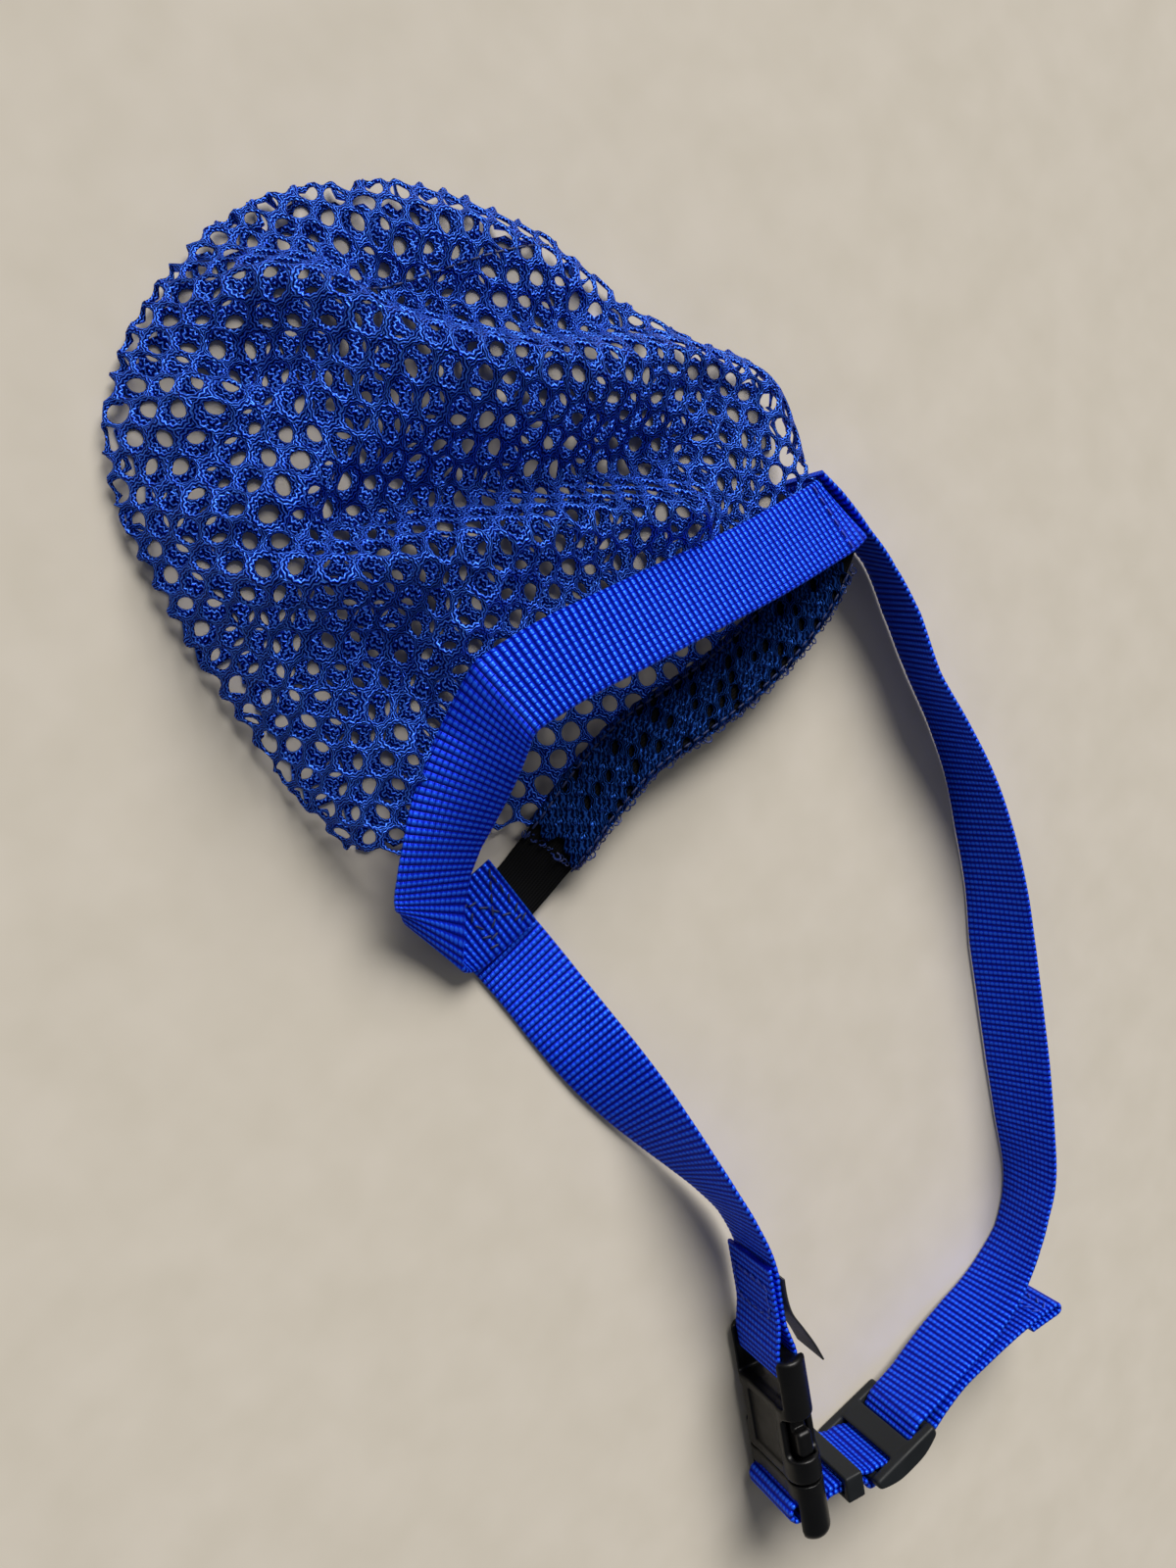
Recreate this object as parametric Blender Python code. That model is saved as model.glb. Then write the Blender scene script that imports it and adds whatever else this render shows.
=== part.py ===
"""Mesh muzzle: a mesh pouch with a webbing nose band, a chin elastic and a buckled neck strap.

Metres, +Z up. The pouch lies on its lower panel with the closed end towards +Y. The neck strap
lies in front of the mouth as a loop that stands on edge.
"""
import math

import bmesh
import bpy
from mathutils import Matrix, Vector

# Webbing, elastic, tag and thread
WEBBING_WIDTH = 0.0200
WEBBING_THICKNESS = 0.0014
ELASTIC_WIDTH = 0.0150
ELASTIC_THICKNESS = 0.0010
TAG_HEIGHT = 0.0120
TAG_THICKNESS = 0.0005
THREAD_RADIUS = 0.00035

# Clearances
FIT_GAP = 0.0003
LAYER_GAP = 0.0004
STRAP_GAP = 0.0004
FLOOR_GAP = 0.0004

# Pouch and its hem
PANEL_THICKNESS = 0.0008
CASING_WALL = 0.0008
CASING_START = 0.0300
CASING_STOP = 0.0110
HEM_RUN_OUT = 0.0030
BAND_OVERLAP = 0.0060
BAND_RUN_OUT = 0.0020
SEAM_HEIGHT = 0.0015
MAIN_FOLD = 0.0130
MAIN_FOLD_WIDTH = 0.0120
FRONT_FOLD = 0.0080
FRONT_FOLD_WIDTH = 0.0110
SIDE_FOLD = 0.0100
SIDE_FOLD_WIDTH = 0.0130
POUCH_CROWN = 0.0060
SLACK_SPAN = 0.0700
PANEL_COLUMNS = 36
PANEL_ROWS = 18
OPENING_COLUMNS = 4
OPENING_ROWS = 3
OPENINGS_ACROSS = 10
OPENINGS_DEEP = 5
BAND_STEPS = 4
BAND_RIM_FIRST = 30
BAND_RIM_LAST = 72

# Side-release buckle, measured along it from the socket's webbing end
POST_WIDTH = 0.0031
BUCKLE_THICKNESS = 0.0100
BUCKLE_EDGE = 0.0010
SOCKET_LENGTH = 0.0350
SOCKET_BAR_LENGTH = 0.0050
SOCKET_SLOT_END = 0.0135
BAR_THICKNESS = 0.0032
CAVITY_START = 0.0155
CAVITY_HEIGHT = 0.0058
SOCKET_SIDE_WALL = 0.0021
WINDOW_START = 0.0165
WINDOW_END = 0.0280
WINDOW_HEIGHT = 0.0066
PLUG_LENGTH = 0.0165
PLUG_THICKNESS = 0.0096
PLUG_WALL = 0.0047
PLUG_BAR_WIDTH = 0.0032
PLUG_LOOP_SLACK = 0.0024
TONGUE_WIDTH = 0.0060
TONGUE_LENGTH = 0.0150
TONGUE_THICKNESS = 0.0032
ARM_WIDTH = 0.0030
ARM_OFFSET = 0.0084
ARM_LENGTH = 0.0172
ARM_THICKNESS = 0.0046
BARB_REACH = 0.0027
BARB_CLEARANCE = 0.0005

# Slider and keeper
SLIDER_LENGTH = 0.0220
SLIDER_POST = 0.0031
SLIDER_BAR_THICKNESS = 0.0020
SLIDER_END_BAR = 0.0026
SLIDER_MIDDLE_BAR = 0.0030
SLIDER_FRONT = 0.0016
SLIDER_ARCH = 0.0042
SLIDER_ARCH_END = 0.0010
KEEPER_LENGTH = 0.0056
KEEPER_WALL = 0.0020
KEEPER_SIDE = 0.0016
KEEPER_SPACING = 0.0126

# Size of the whole muzzle as it lies: across, from mouth to closed end, and from mouth to tail
PART_WIDTH = 0.2115
POUCH_DEPTH = 0.1478
NECK_REACH = 0.2123

# Places are drawn in millimetres from the middle of the mouth on the table, for these sizes
MM = 0.001
DRAWN_WIDTH = 0.2115
DRAWN_DEPTH = 0.1478
DRAWN_REACH = 0.2123
FRAME_ORIGIN = Vector((0.0013, -0.0322, 0.0))
SOCKET_PLACE = (-71.9, -136.0)
BUCKLE_HEADING = math.radians(236.0)
SLIDER_TURN = math.radians(71.0)
SLIDER_SETBACK = 0.0008
SLIDER_SPACING = 0.01695

# Sewing
SEAM_FIRST_COLUMN = 22
SEAM_STEPS = 9
SEAM_START = 0.75
SEAM_END = 0.917
CROSS_PLACE = 0.0070
CROSS_HALF_LENGTH = 0.0050
STITCH_MARGIN = 0.0025
FOLD_STITCH_PLACE = 0.0205
LOOP_TURN_BACK = 0.0245

# Sizes that follow from the ones above
LAYER_STEP = WEBBING_THICKNESS + LAYER_GAP
TAIL_TURN = 0.9 * WEBBING_THICKNESS
TAIL_DROP = 0.0004
TAIL_LEAD = 0.0020
TAIL_RETURN = 0.0100
HALF_LAYER = LAYER_STEP / 2
BUCKLE_WIDTH = WEBBING_WIDTH + 2 * (STRAP_GAP + POST_WIDTH)
STRAP_OPENING = WEBBING_WIDTH + 2 * STRAP_GAP
NECK_HEIGHT = FLOOR_GAP + BUCKLE_WIDTH / 2
STRAP_HEIGHT = FLOOR_GAP + WEBBING_WIDTH / 2
BAR_TURN = BAR_THICKNESS / 2 + FIT_GAP + WEBBING_THICKNESS / 2
PLUG_START = SOCKET_LENGTH + FIT_GAP
PLUG_END = PLUG_START + PLUG_LENGTH
PLUG_BAR = PLUG_START + PLUG_WALL + 2 * FIT_GAP + WEBBING_THICKNESS + PLUG_BAR_WIDTH / 2
PLUG_TURN = PLUG_BAR_WIDTH / 2 + FIT_GAP + WEBBING_THICKNESS / 2
KEEPER_OPENING = 2 * WEBBING_THICKNESS + LAYER_GAP + 2 * STRAP_GAP
KEEPER_PLACE = PLUG_BAR - 0.0006
SLIDER_WIDTH = STRAP_OPENING + 2 * SLIDER_POST
SLIDER_PITCH = (SLIDER_LENGTH - SLIDER_END_BAR) / 2
WEAVE = SLIDER_BAR_THICKNESS / 2 + FIT_GAP + WEBBING_THICKNESS / 2
STRAP_LEVEL = FLOOR_GAP + WEBBING_THICKNESS / 2
ELASTIC_LEVEL = STRAP_LEVEL + WEBBING_THICKNESS / 2 + FIT_GAP + ELASTIC_THICKNESS / 2
FLAP_LEVEL = ELASTIC_LEVEL + ELASTIC_THICKNESS / 2 + FIT_GAP + WEBBING_THICKNESS / 2
HEM_WIDTH = ELASTIC_WIDTH + 2 * (FIT_GAP + CASING_WALL)
HEM_THICKNESS = ELASTIC_THICKNESS + 2 * (FIT_GAP + CASING_WALL)
THREAD_LIFT = FIT_GAP + THREAD_RADIUS
UP = Vector((0.0, 0.0, 1.0))


def place(x, y, z=0.0):
    """A point given in millimetres from the middle of the mouth, on the table."""
    wide = PART_WIDTH / DRAWN_WIDTH
    deep = POUCH_DEPTH / DRAWN_DEPTH if y > 0 else NECK_REACH / DRAWN_REACH
    return Vector((x * MM * wide, y * MM * deep, z * MM)) - FRAME_ORIGIN


def lift(point, height):
    """The same place at another height."""
    return Vector((point.x, point.y, height))


def heading_vector(angle):
    return Vector((math.cos(angle), math.sin(angle), 0.0))


def piece_frame(origin, along):
    """Frame with X up, Y along the strap and Z across its face."""
    across = UP.cross(along)
    turn = Matrix((UP, along, across)).transposed().to_4x4()
    return Matrix.Translation(origin) @ turn


BUCKLE_ALONG = heading_vector(BUCKLE_HEADING)
BUCKLE_FRAME = piece_frame(lift(place(*SOCKET_PLACE), NECK_HEIGHT), BUCKLE_ALONG)


def on_buckle(along, across, up=0.0):
    return BUCKLE_FRAME @ Vector((up, along, across))


SLIDER_ALONG = heading_vector(BUCKLE_HEADING - SLIDER_TURN)
SLIDER_MIDDLE = on_buckle(KEEPER_PLACE - SLIDER_SETBACK, KEEPER_SPACING + SLIDER_SPACING)
SLIDER_FRAME = piece_frame(SLIDER_MIDDLE, SLIDER_ALONG)


def on_slider(along, across, up=0.0):
    return SLIDER_FRAME @ Vector((up, along, across))


# Making objects

def make_material(name, colour, roughness):
    material = bpy.data.materials.new(name)
    material.use_nodes = True
    shader = material.node_tree.nodes["Principled BSDF"]
    shader.inputs["Base Color"].default_value = (*colour, 1.0)
    shader.inputs["Roughness"].default_value = roughness
    shader.inputs["Metallic"].default_value = 0.0
    return material


def add_object(name, data, material, parent=None):
    made = bpy.data.objects.new(name, data)
    data.materials.append(material)
    bpy.context.scene.collection.objects.link(made)
    if parent:
        made.parent = parent
        made.matrix_parent_inverse = parent.matrix_world.inverted()
    return made


def add_mesh(name, shape, material, parent=None):
    bmesh.ops.recalc_face_normals(shape, faces=shape.faces)
    mesh = bpy.data.meshes.new(name)
    shape.to_mesh(mesh)
    shape.free()
    return add_object(name, mesh, material, parent)


def add_pivot(name, place_of_axis, parent=None):
    pivot = bpy.data.objects.new(name, None)
    pivot.location = place_of_axis
    bpy.context.scene.collection.objects.link(pivot)
    bpy.context.view_layer.update()
    if parent:
        pivot.parent = parent
        pivot.matrix_parent_inverse = parent.matrix_world.inverted()
        bpy.context.view_layer.update()
    return pivot


# Curves and strips

def smooth(points, steps):
    """Smooth curve through the points, with so many samples in each interval."""
    ends = [2 * points[0] - points[1]] + list(points) + [2 * points[-1] - points[-2]]
    samples = []
    for before, start, end, after in zip(ends, ends[1:], ends[2:], ends[3:]):
        first = (start - before).length ** 0.5
        span = (end - start).length ** 0.5
        last = (after - end).length ** 0.5
        slope = (end - start) / span
        leave = span * ((start - before) / first - (end - before) / (first + span) + slope)
        arrive = span * (slope - (after - start) / (span + last) + (after - end) / last)
        for k in range(steps):
            t = k / steps
            curve = start * (2 * t ** 3 - 3 * t ** 2 + 1) + leave * (t ** 3 - 2 * t ** 2 + t)
            samples.append(curve + end * (3 * t ** 2 - 2 * t ** 3) + arrive * (t ** 3 - t ** 2))
    samples.append(points[-1].copy())
    return samples


def spread(hints, steps):
    """Directions between the given ones, matched to the samples of a smooth curve."""
    samples = []
    for start, end in zip(hints, hints[1:]):
        samples += [start.lerp(end, k / steps) for k in range(steps)]
    samples.append(hints[-1].copy())
    return samples


def strip_frames(centres, hints, holds=None):
    """Centre, across and outward directions along a strap; a held section may run askew at a fold."""
    strip = []
    last = len(centres) - 1
    for i, centre in enumerate(centres):
        along = (centres[min(i + 1, last)] - centres[max(i - 1, 0)]).normalized()
        square = (hints[i] - along * along.dot(hints[i])).normalized()
        hold = holds[i] if holds else 0.0
        strip.append((centre, square.lerp(hints[i].normalized(), hold), along.cross(square)))
    return strip


def strip_lengths(strip):
    lengths = [0.0]
    for before, after in zip(strip, strip[1:]):
        lengths.append(lengths[-1] + (after[0] - before[0]).length)
    return lengths


def strip_at(strip, lengths, distance):
    """The strip's centre, across and outward directions at a distance along it."""
    for i in range(len(strip) - 2):
        if lengths[i + 1] >= distance:
            break
    share = (distance - lengths[i]) / (lengths[i + 1] - lengths[i])
    return tuple(a.lerp(b, share) for a, b in zip(strip[i], strip[i + 1]))


def pick(strip, start, end, count):
    """So many evenly spaced stations between two distances along the strip."""
    lengths = strip_lengths(strip)
    step = (end - start) / (count - 1)
    return [strip_at(strip, lengths, start + step * i) for i in range(count)]


def arc(centre, first, second, radius, start, end, count):
    """Points of a turn in the plane of two directions, from one angle to another, in degrees."""
    points = []
    for i in range(count):
        angle = math.radians(start + (end - start) * i / (count - 1))
        points.append(centre + radius * (math.cos(angle) * first + math.sin(angle) * second))
    return points


def loft(name, rings, material, parent=None):
    """Closed solid through rings of points."""
    shape = bmesh.new()
    rows = [[shape.verts.new(point) for point in ring] for ring in rings]
    count = len(rings[0])
    for lower, upper in zip(rows, rows[1:]):
        for i in range(count):
            j = (i + 1) % count
            shape.faces.new((lower[i], lower[j], upper[j], upper[i]))
    shape.faces.new(rows[0])
    shape.faces.new(list(reversed(rows[-1])))
    return add_mesh(name, shape, material, parent)


def section(station, width, thickness):
    """Four corners of a strap's cross-section."""
    centre, across, out = station
    side = across * (width / 2)
    face = out * (thickness / 2)
    return [centre + side + face, centre - side + face, centre - side - face, centre + side - face]


def strap(name, strip, width, thickness, material, parent=None):
    """Flat strap, with a line along the middle of each face so that it can twist."""
    rings = []
    for station in strip:
        corners = section(station, width, thickness)
        upper = corners[0].lerp(corners[1], 0.5)
        lower = corners[2].lerp(corners[3], 0.5)
        rings.append([corners[0], upper, corners[1], corners[2], lower, corners[3]])
    return loft(name, rings, material, parent)


def sleeve(name, strip, width, thickness, wall, material):
    """Flat tube, open at both ends."""
    shape = bmesh.new()
    rows = []
    for station in strip:
        corners = section(station, width, thickness)
        corners += section(station, width - 2 * wall, thickness - 2 * wall)
        rows.append([shape.verts.new(point) for point in corners])
    for lower, upper in zip(rows, rows[1:]):
        for i in range(4):
            j = (i + 1) % 4
            shape.faces.new((lower[i], lower[j], upper[j], upper[i]))
            shape.faces.new((lower[4 + j], lower[4 + i], upper[4 + i], upper[4 + j]))
    for i in range(4):
        j = (i + 1) % 4
        shape.faces.new((rows[0][j], rows[0][i], rows[0][4 + i], rows[0][4 + j]))
        shape.faces.new((rows[-1][i], rows[-1][j], rows[-1][4 + j], rows[-1][4 + i]))
    return add_mesh(name, shape, material)


def grid_normal(grid, row, column):
    rows = len(grid) - 1
    columns = len(grid[0]) - 1
    side = grid[row][min(column + 1, columns)] - grid[row][max(column - 1, 0)]
    rise = grid[min(row + 1, rows)][column] - grid[max(row - 1, 0)][column]
    return side.cross(rise).normalized()


def mesh_openings():
    """Grid squares of the upper panel that are left open: a coarse stand-in for the mesh's fine holes."""
    last_seam_column = SEAM_FIRST_COLUMN + SEAM_STEPS
    left_open = set()
    for down in range(OPENINGS_DEEP):
        for across in range(OPENINGS_ACROSS):
            rows = [2 + down * OPENING_ROWS + k for k in range(OPENING_ROWS - 1)]
            columns = [1 + across * OPENING_COLUMNS + k for k in range(OPENING_COLUMNS - 1)]
            beside_seam = columns[-1] < SEAM_FIRST_COLUMN - 1 or columns[0] > last_seam_column
            if beside_seam or down < OPENINGS_DEEP - 1:
                left_open |= {(r, c) for r in rows for c in columns}
    return left_open


def shell(name, grid, thickness, material, left_open=()):
    """Sheet of even thickness below a grid of points, closed along its edges and round its openings."""
    shape = bmesh.new()
    top = []
    bottom = []
    for r, line in enumerate(grid):
        top.append([shape.verts.new(point) for point in line])
        low = [point - grid_normal(grid, r, c) * thickness for c, point in enumerate(line)]
        bottom.append([shape.verts.new(point) for point in low])
    rows = len(grid) - 1
    columns = len(grid[0]) - 1
    solid = {(r, c) for r in range(rows) for c in range(columns)} - set(left_open)
    for r, c in sorted(solid):
        corners = ((r, c), (r, c + 1), (r + 1, c + 1), (r + 1, c))
        shape.faces.new([top[i][j] for i, j in corners])
        shape.faces.new([bottom[i][j] for i, j in reversed(corners)])
        beside = ((r - 1, c), (r, c + 1), (r + 1, c), (r, c - 1))
        for neighbour, (r0, c0), (r1, c1) in zip(beside, corners, corners[1:] + corners[:1]):
            if neighbour not in solid:
                shape.faces.new((top[r0][c0], bottom[r0][c0], bottom[r1][c1], top[r1][c1]))
    bmesh.ops.delete(shape, geom=[vert for vert in shape.verts if not vert.link_faces], context="VERTS")
    return add_mesh(name, shape, material)


def thread(name, points, material, parent=None):
    """Sewing thread as a fine tube."""
    curve = bpy.data.curves.new(name, "CURVE")
    curve.dimensions = "3D"
    curve.bevel_depth = THREAD_RADIUS
    curve.bevel_resolution = 1
    curve.use_fill_caps = True
    line = curve.splines.new("POLY")
    line.points.add(len(points) - 1)
    for target, point in zip(line.points, points):
        target.co = (*point, 1.0)
    return add_object(name, curve, material, parent)


# Moulded pieces

def block(name, low, high, frame, material, parent=None):
    """Box between two corners of a piece's own frame."""
    shape = bmesh.new()
    bmesh.ops.create_cube(shape, size=1.0)
    low = Vector(low)
    high = Vector(high)
    size = high - low
    middle = (low + high) / 2
    for vertex in shape.verts:
        vertex.co = Vector(a * b for a, b in zip(vertex.co, size)) + middle
    made = add_mesh(name, shape, material, parent)
    made.matrix_world = frame
    return made


def prism(name, outline, low, high, frame, material, parent=None):
    """Outline in a piece's Y and Z, drawn along its X from one level to another."""
    rings = []
    for level in (low, high):
        rings.append([Vector((level, y, z)) for y, z in outline])
    made = loft(name, rings, material, parent)
    made.matrix_world = frame
    return made


def round_edges(target, width):
    bevel = target.modifiers.new("rounded_edges", "BEVEL")
    bevel.width = width
    bevel.segments = 2
    bevel.limit_method = "ANGLE"
    bevel.angle_limit = math.radians(50.0)


def combine(target, tool, operation):
    tool.hide_render = True
    tool.display_type = "WIRE"
    step = target.modifiers.new(tool.name, "BOOLEAN")
    step.operation = operation
    step.object = tool


def opening(target, name, low, high, frame, material):
    tool = block(f"{name}_cutter", low, high, frame, material, target.parent)
    combine(target, tool, "DIFFERENCE")


# Bag

def nose_band_strip():
    """Turned-back left end, left leg, arch over the mouth and folded right end."""
    flap = FLAP_LEVEL / MM
    stations = (
        ((-33.0, -1.9, flap), (-0.17, -0.98, 0.0), 0.0),
        ((-42.0, -0.8, flap), (-0.17, -0.98, 0.0), 0.0),
        ((-49.5, 0.4, flap), (-0.10, -0.99, 0.0), 1.0),
        ((-53.6, 2.2, flap + 0.9), (-0.02, -1.0, 0.0), 1.0),
        ((-55.4, 4.8, flap + 3.4), (0.06, -0.99, -0.08), 1.0),
        ((-53.6, 8.8, flap + 5.8), (0.22, -0.95, -0.20), 1.0),
        ((-50.0, 13.4, flap + 7.0), (0.46, -0.80, -0.32), 0.6),
        ((-45.0, 18.0, 13.2), (0.58, -0.74, -0.30), 0.0),
        ((-38.5, 22.8, 16.2), (0.54, -0.80, -0.20), 0.0),
        ((-29.5, 28.8, 21.2), (0.36, -0.90, 0.10), 0.0),
        ((-19.5, 34.8, 27.6), (0.14, -0.90, 0.36), 0.0),
        ((-11.5, 39.6, 32.8), (-0.06, -0.90, 0.40), 0.0),
        ((-4.5, 40.2, 34.8), (-0.20, -0.91, 0.34), 0.0),
        ((6.0, 36.6, 35.0), (-0.26, -0.90, 0.32), 0.0),
        ((22.0, 30.6, 34.0), (-0.26, -0.90, 0.32), 0.0),
        ((41.0, 23.2, 31.0), (-0.25, -0.90, 0.32), 0.0),
        ((62.0, 15.0, 27.0), (-0.20, -0.92, 0.30), 0.0),
        ((80.0, 8.8, 23.2), (-0.12, -0.95, 0.24), 0.0),
        ((88.0, 6.2, 21.4), (-0.02, -0.98, 0.16), 0.0),
        ((91.6, 5.4, 19.8), (0.06, -0.99, 0.08), 0.0),
        ((93.0, 5.0, 16.5), (0.09, -0.99, 0.02), 0.0),
        ((93.3, 5.0, 11.0), (0.09, -0.99, 0.0), 0.0),
        ((93.3, 5.0, 5.0), (0.09, -0.99, 0.0), 0.0),
    )
    centres = smooth([place(*point) for point, hint, hold in stations], BAND_STEPS)
    hints = spread([Vector(hint) for point, hint, hold in stations], BAND_STEPS)
    holds = spread([Vector((hold, 0.0)) for point, hint, hold in stations], BAND_STEPS)
    return strip_frames(centres, hints, [hold.x for hold in holds])


def hem_strip():
    """Elastic's route: bare from under the left flap, then through the casing to the right fold."""
    bare = ELASTIC_LEVEL / MM
    stations = [
        ((-45.0, -3.0, bare), (0.0, -1.0, 0.0)),
        ((-37.0, -3.2, bare), (0.0, -1.0, 0.0)),
        ((-29.0, -3.2, bare), (0.0, -1.0, 0.0)),
        ((-22.5, -2.2, bare + 1.8), (0.08, -0.99, 0.05)),
        ((-16.0, -1.0, bare + 4.4), (0.05, -0.99, 0.12)),
        ((-2.0, 0.6, 8.0), (-0.05, -0.97, 0.22)),
        ((13.0, 0.6, 8.8), (-0.20, -0.95, 0.25)),
        ((29.0, -3.2, 9.0), (-0.25, -0.93, 0.25)),
        ((46.0, -6.6, 9.2), (-0.15, -0.95, 0.25)),
        ((63.0, -7.4, 10.2), (0.05, -0.96, 0.25)),
        ((78.0, -5.2, 11.4), (0.15, -0.96, 0.20)),
        ((86.0, -2.6, 12.0), (0.20, -0.97, 0.12)),
        ((91.4, -0.6, 12.2), (0.15, -0.98, 0.05)),
    ]
    centres = smooth([place(*point) for point, hint in stations], 3)
    hints = spread([Vector(hint) for point, hint in stations], 3)
    return strip_frames(centres, hints)


def pouch_outline():
    """Edge of the pouch as it lies, from beside the left leg round to the right fold."""
    points = [
        (-53.0, 35.5), (-52.0, 52.0), (-49.0, 69.0), (-42.5, 97.0), (-31.0, 125.0), (-16.5, 138.5),
        (8.5, 147.0), (26.0, 147.5), (42.0, 143.5), (66.5, 127.0), (76.0, 114.0), (83.5, 99.0),
        (90.0, 76.0), (97.5, 59.0), (106.5, 45.0), (106.0, 32.0), (99.0, 22.0),
    ]
    return [lift(point, SEAM_HEIGHT) for point in smooth([place(*point) for point in points], 4)]


def along_line(points, count):
    """So many evenly spaced points along a line of points."""
    strip = [(point, UP, UP) for point in points]
    total = strip_lengths(strip)[-1]
    return [station[0] for station in pick(strip, 0.0, total, count)]


def fold_height(point, line, width):
    """Share of a fold's height at a point, from its distance to the fold's line in plan."""
    nearest = 1.0
    for start, end in zip(line, line[1:]):
        run = end - start
        share = max(0.0, min(1.0, (point - start).dot(run) / run.length_squared))
        nearest = min(nearest, (start + run * share - point).length)
    return math.exp(-((nearest / width) ** 2))


FOLDS = (
    ([place(14, 132), place(31, 109), place(62, 74), place(96, 47)], MAIN_FOLD, MAIN_FOLD_WIDTH),
    ([place(-18, 78), place(10, 66), place(42, 48), place(72, 27)], FRONT_FOLD, FRONT_FOLD_WIDTH),
    ([place(-26, 122), place(-14, 104), place(-10, 88)], SIDE_FOLD, SIDE_FOLD_WIDTH),
)


def upper_grid(band):
    """Upper panel's outside, from under the nose band to the pouch's edge."""
    under = WEBBING_THICKNESS / 2 + 1.5 * FIT_GAP
    rim = band[BAND_RIM_FIRST:BAND_RIM_LAST + 1]
    edge = along_line(pouch_outline(), len(rim))
    half = WEBBING_WIDTH / 2
    first = [c - a * (half - BAND_OVERLAP) + o * under for c, a, o in rim]
    second = [c - a * (half + BAND_RUN_OUT) + o * (under + FIT_GAP) for c, a, o in rim]
    grid = [first]
    for row in range(PANEL_ROWS + 1):
        share = row / PANEL_ROWS
        line = []
        for start, end in zip(second, edge):
            point = start.lerp(end, share)
            slack = min(1.0, (end - start).length / SLACK_SPAN)
            rise = 4 * share * (1 - share) * slack
            plan = lift(point, 0.0)
            folds = sum(height * fold_height(plan, path, width) for path, height, width in FOLDS)
            drop = (start.z - end.z) * (share ** 1.5 - share)
            point.z += rise * (POUCH_CROWN + folds) - drop + (PANEL_THICKNESS + FIT_GAP) * share
            line.append(point)
        grid.append(line)
    return grid


def lower_grid(hem):
    """Lower panel's inside: flat on the table, rising to the hem at the mouth."""
    total = strip_lengths(hem)[-1]
    rim = pick(hem, CASING_START, total - CASING_STOP, PANEL_COLUMNS + 1)
    edge = along_line(pouch_outline(), PANEL_COLUMNS + 1)
    reach = HEM_WIDTH / 2 + FIT_GAP
    first = [centre - across * reach for centre, across, out in rim]
    second = [centre - across * (reach + HEM_RUN_OUT) for centre, across, out in rim]
    grid = [first]
    rows = PANEL_ROWS // 3
    for row in range(rows + 1):
        share = row / rows
        line = []
        for start, end in zip(second, edge):
            point = start.lerp(end, share)
            fall = max(0.0, 1 - 2.5 * share) ** 2
            point.z = PANEL_THICKNESS + (start.z - PANEL_THICKNESS) * fall
            line.append(point)
        grid.append(line)
    return grid


def build_bag(webbing, elastic, mesh, sewing):
    band = nose_band_strip()
    hem = hem_strip()
    upper = upper_grid(band)
    strap("nose_band", band, WEBBING_WIDTH, WEBBING_THICKNESS, webbing)
    strap("chin_elastic", hem, ELASTIC_WIDTH, ELASTIC_THICKNESS, elastic)
    total = strip_lengths(hem)[-1]
    casing = pick(hem, CASING_START, total - CASING_STOP, PANEL_COLUMNS + 1)
    sleeve("chin_hem", casing, HEM_WIDTH, HEM_THICKNESS, CASING_WALL, mesh)
    shell("upper_panel", upper, PANEL_THICKNESS, mesh, mesh_openings())
    shell("lower_panel", lower_grid(hem), PANEL_THICKNESS, mesh)
    sew_bag(band, casing, upper, sewing)


def sew_bag(band, casing, upper, sewing):
    """Threads of the bag: casing rows, seams and both junctions."""
    row = ELASTIC_WIDTH / 2 - THREAD_RADIUS
    over_casing = HEM_THICKNESS / 2 + THREAD_LIFT
    inner = [c - a * row - o * over_casing for c, a, o in casing]
    outer = [c + a * row - o * over_casing for c, a, o in casing]
    thread("hem_thread_inner", inner, sewing)
    thread("hem_thread_outer", outer, sewing)

    under_band = WEBBING_THICKNESS / 2 + FIT_GAP + PANEL_THICKNESS + THREAD_LIFT
    seam_offset = WEBBING_WIDTH / 2 - BAND_OVERLAP + 2 * THREAD_RADIUS
    rim = band[BAND_RIM_FIRST + 1:BAND_RIM_LAST]
    thread("nose_band_thread", [c - a * seam_offset + o * under_band for c, a, o in rim], sewing)

    seam = []
    for i in range(SEAM_STEPS):
        share = SEAM_START + (SEAM_END - SEAM_START) * i / (SEAM_STEPS - 1)
        row, part = divmod(1 + share * PANEL_ROWS, 1)
        row = int(row)
        column = SEAM_FIRST_COLUMN + i
        point = upper[row][column].lerp(upper[row + 1][column], part)
        seam.append(point + grid_normal(upper, row, column) * THREAD_LIFT)
    thread("pouch_seam_thread", smooth(seam, 2), sewing)

    cover = WEBBING_THICKNESS / 2 + THREAD_LIFT
    lengths = strip_lengths(band)
    corner = (CROSS_HALF_LENGTH, WEBBING_WIDTH / 2 - STITCH_MARGIN)
    middle, across, out = strip_at(band, lengths, CROSS_PLACE)
    along = across.cross(out)
    stops = ((-1, -1), (0, 0), (1, 1), (1, -1), (0, 0), (-1, 1), (-1, -0.75))
    lifts = (0, 0, 0, 0, 2 * THREAD_RADIUS + FIT_GAP, 0, 0)
    cross = []
    for (u, v), rise in zip(stops, lifts):
        flat = middle + along * (u * corner[0]) + across * (v * corner[1])
        cross.append(flat + out * (cover + rise))
    thread("left_junction_thread", cross, sewing)

    fold = strip_at(band, lengths, lengths[-1] - FOLD_STITCH_PLACE)
    bar = [fold[0] + fold[1] * (share * WEBBING_WIDTH) - fold[2] * cover for share in (-0.35, 0.0, 0.35)]
    thread("right_junction_thread", bar, sewing)


# Neck strap

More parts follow.
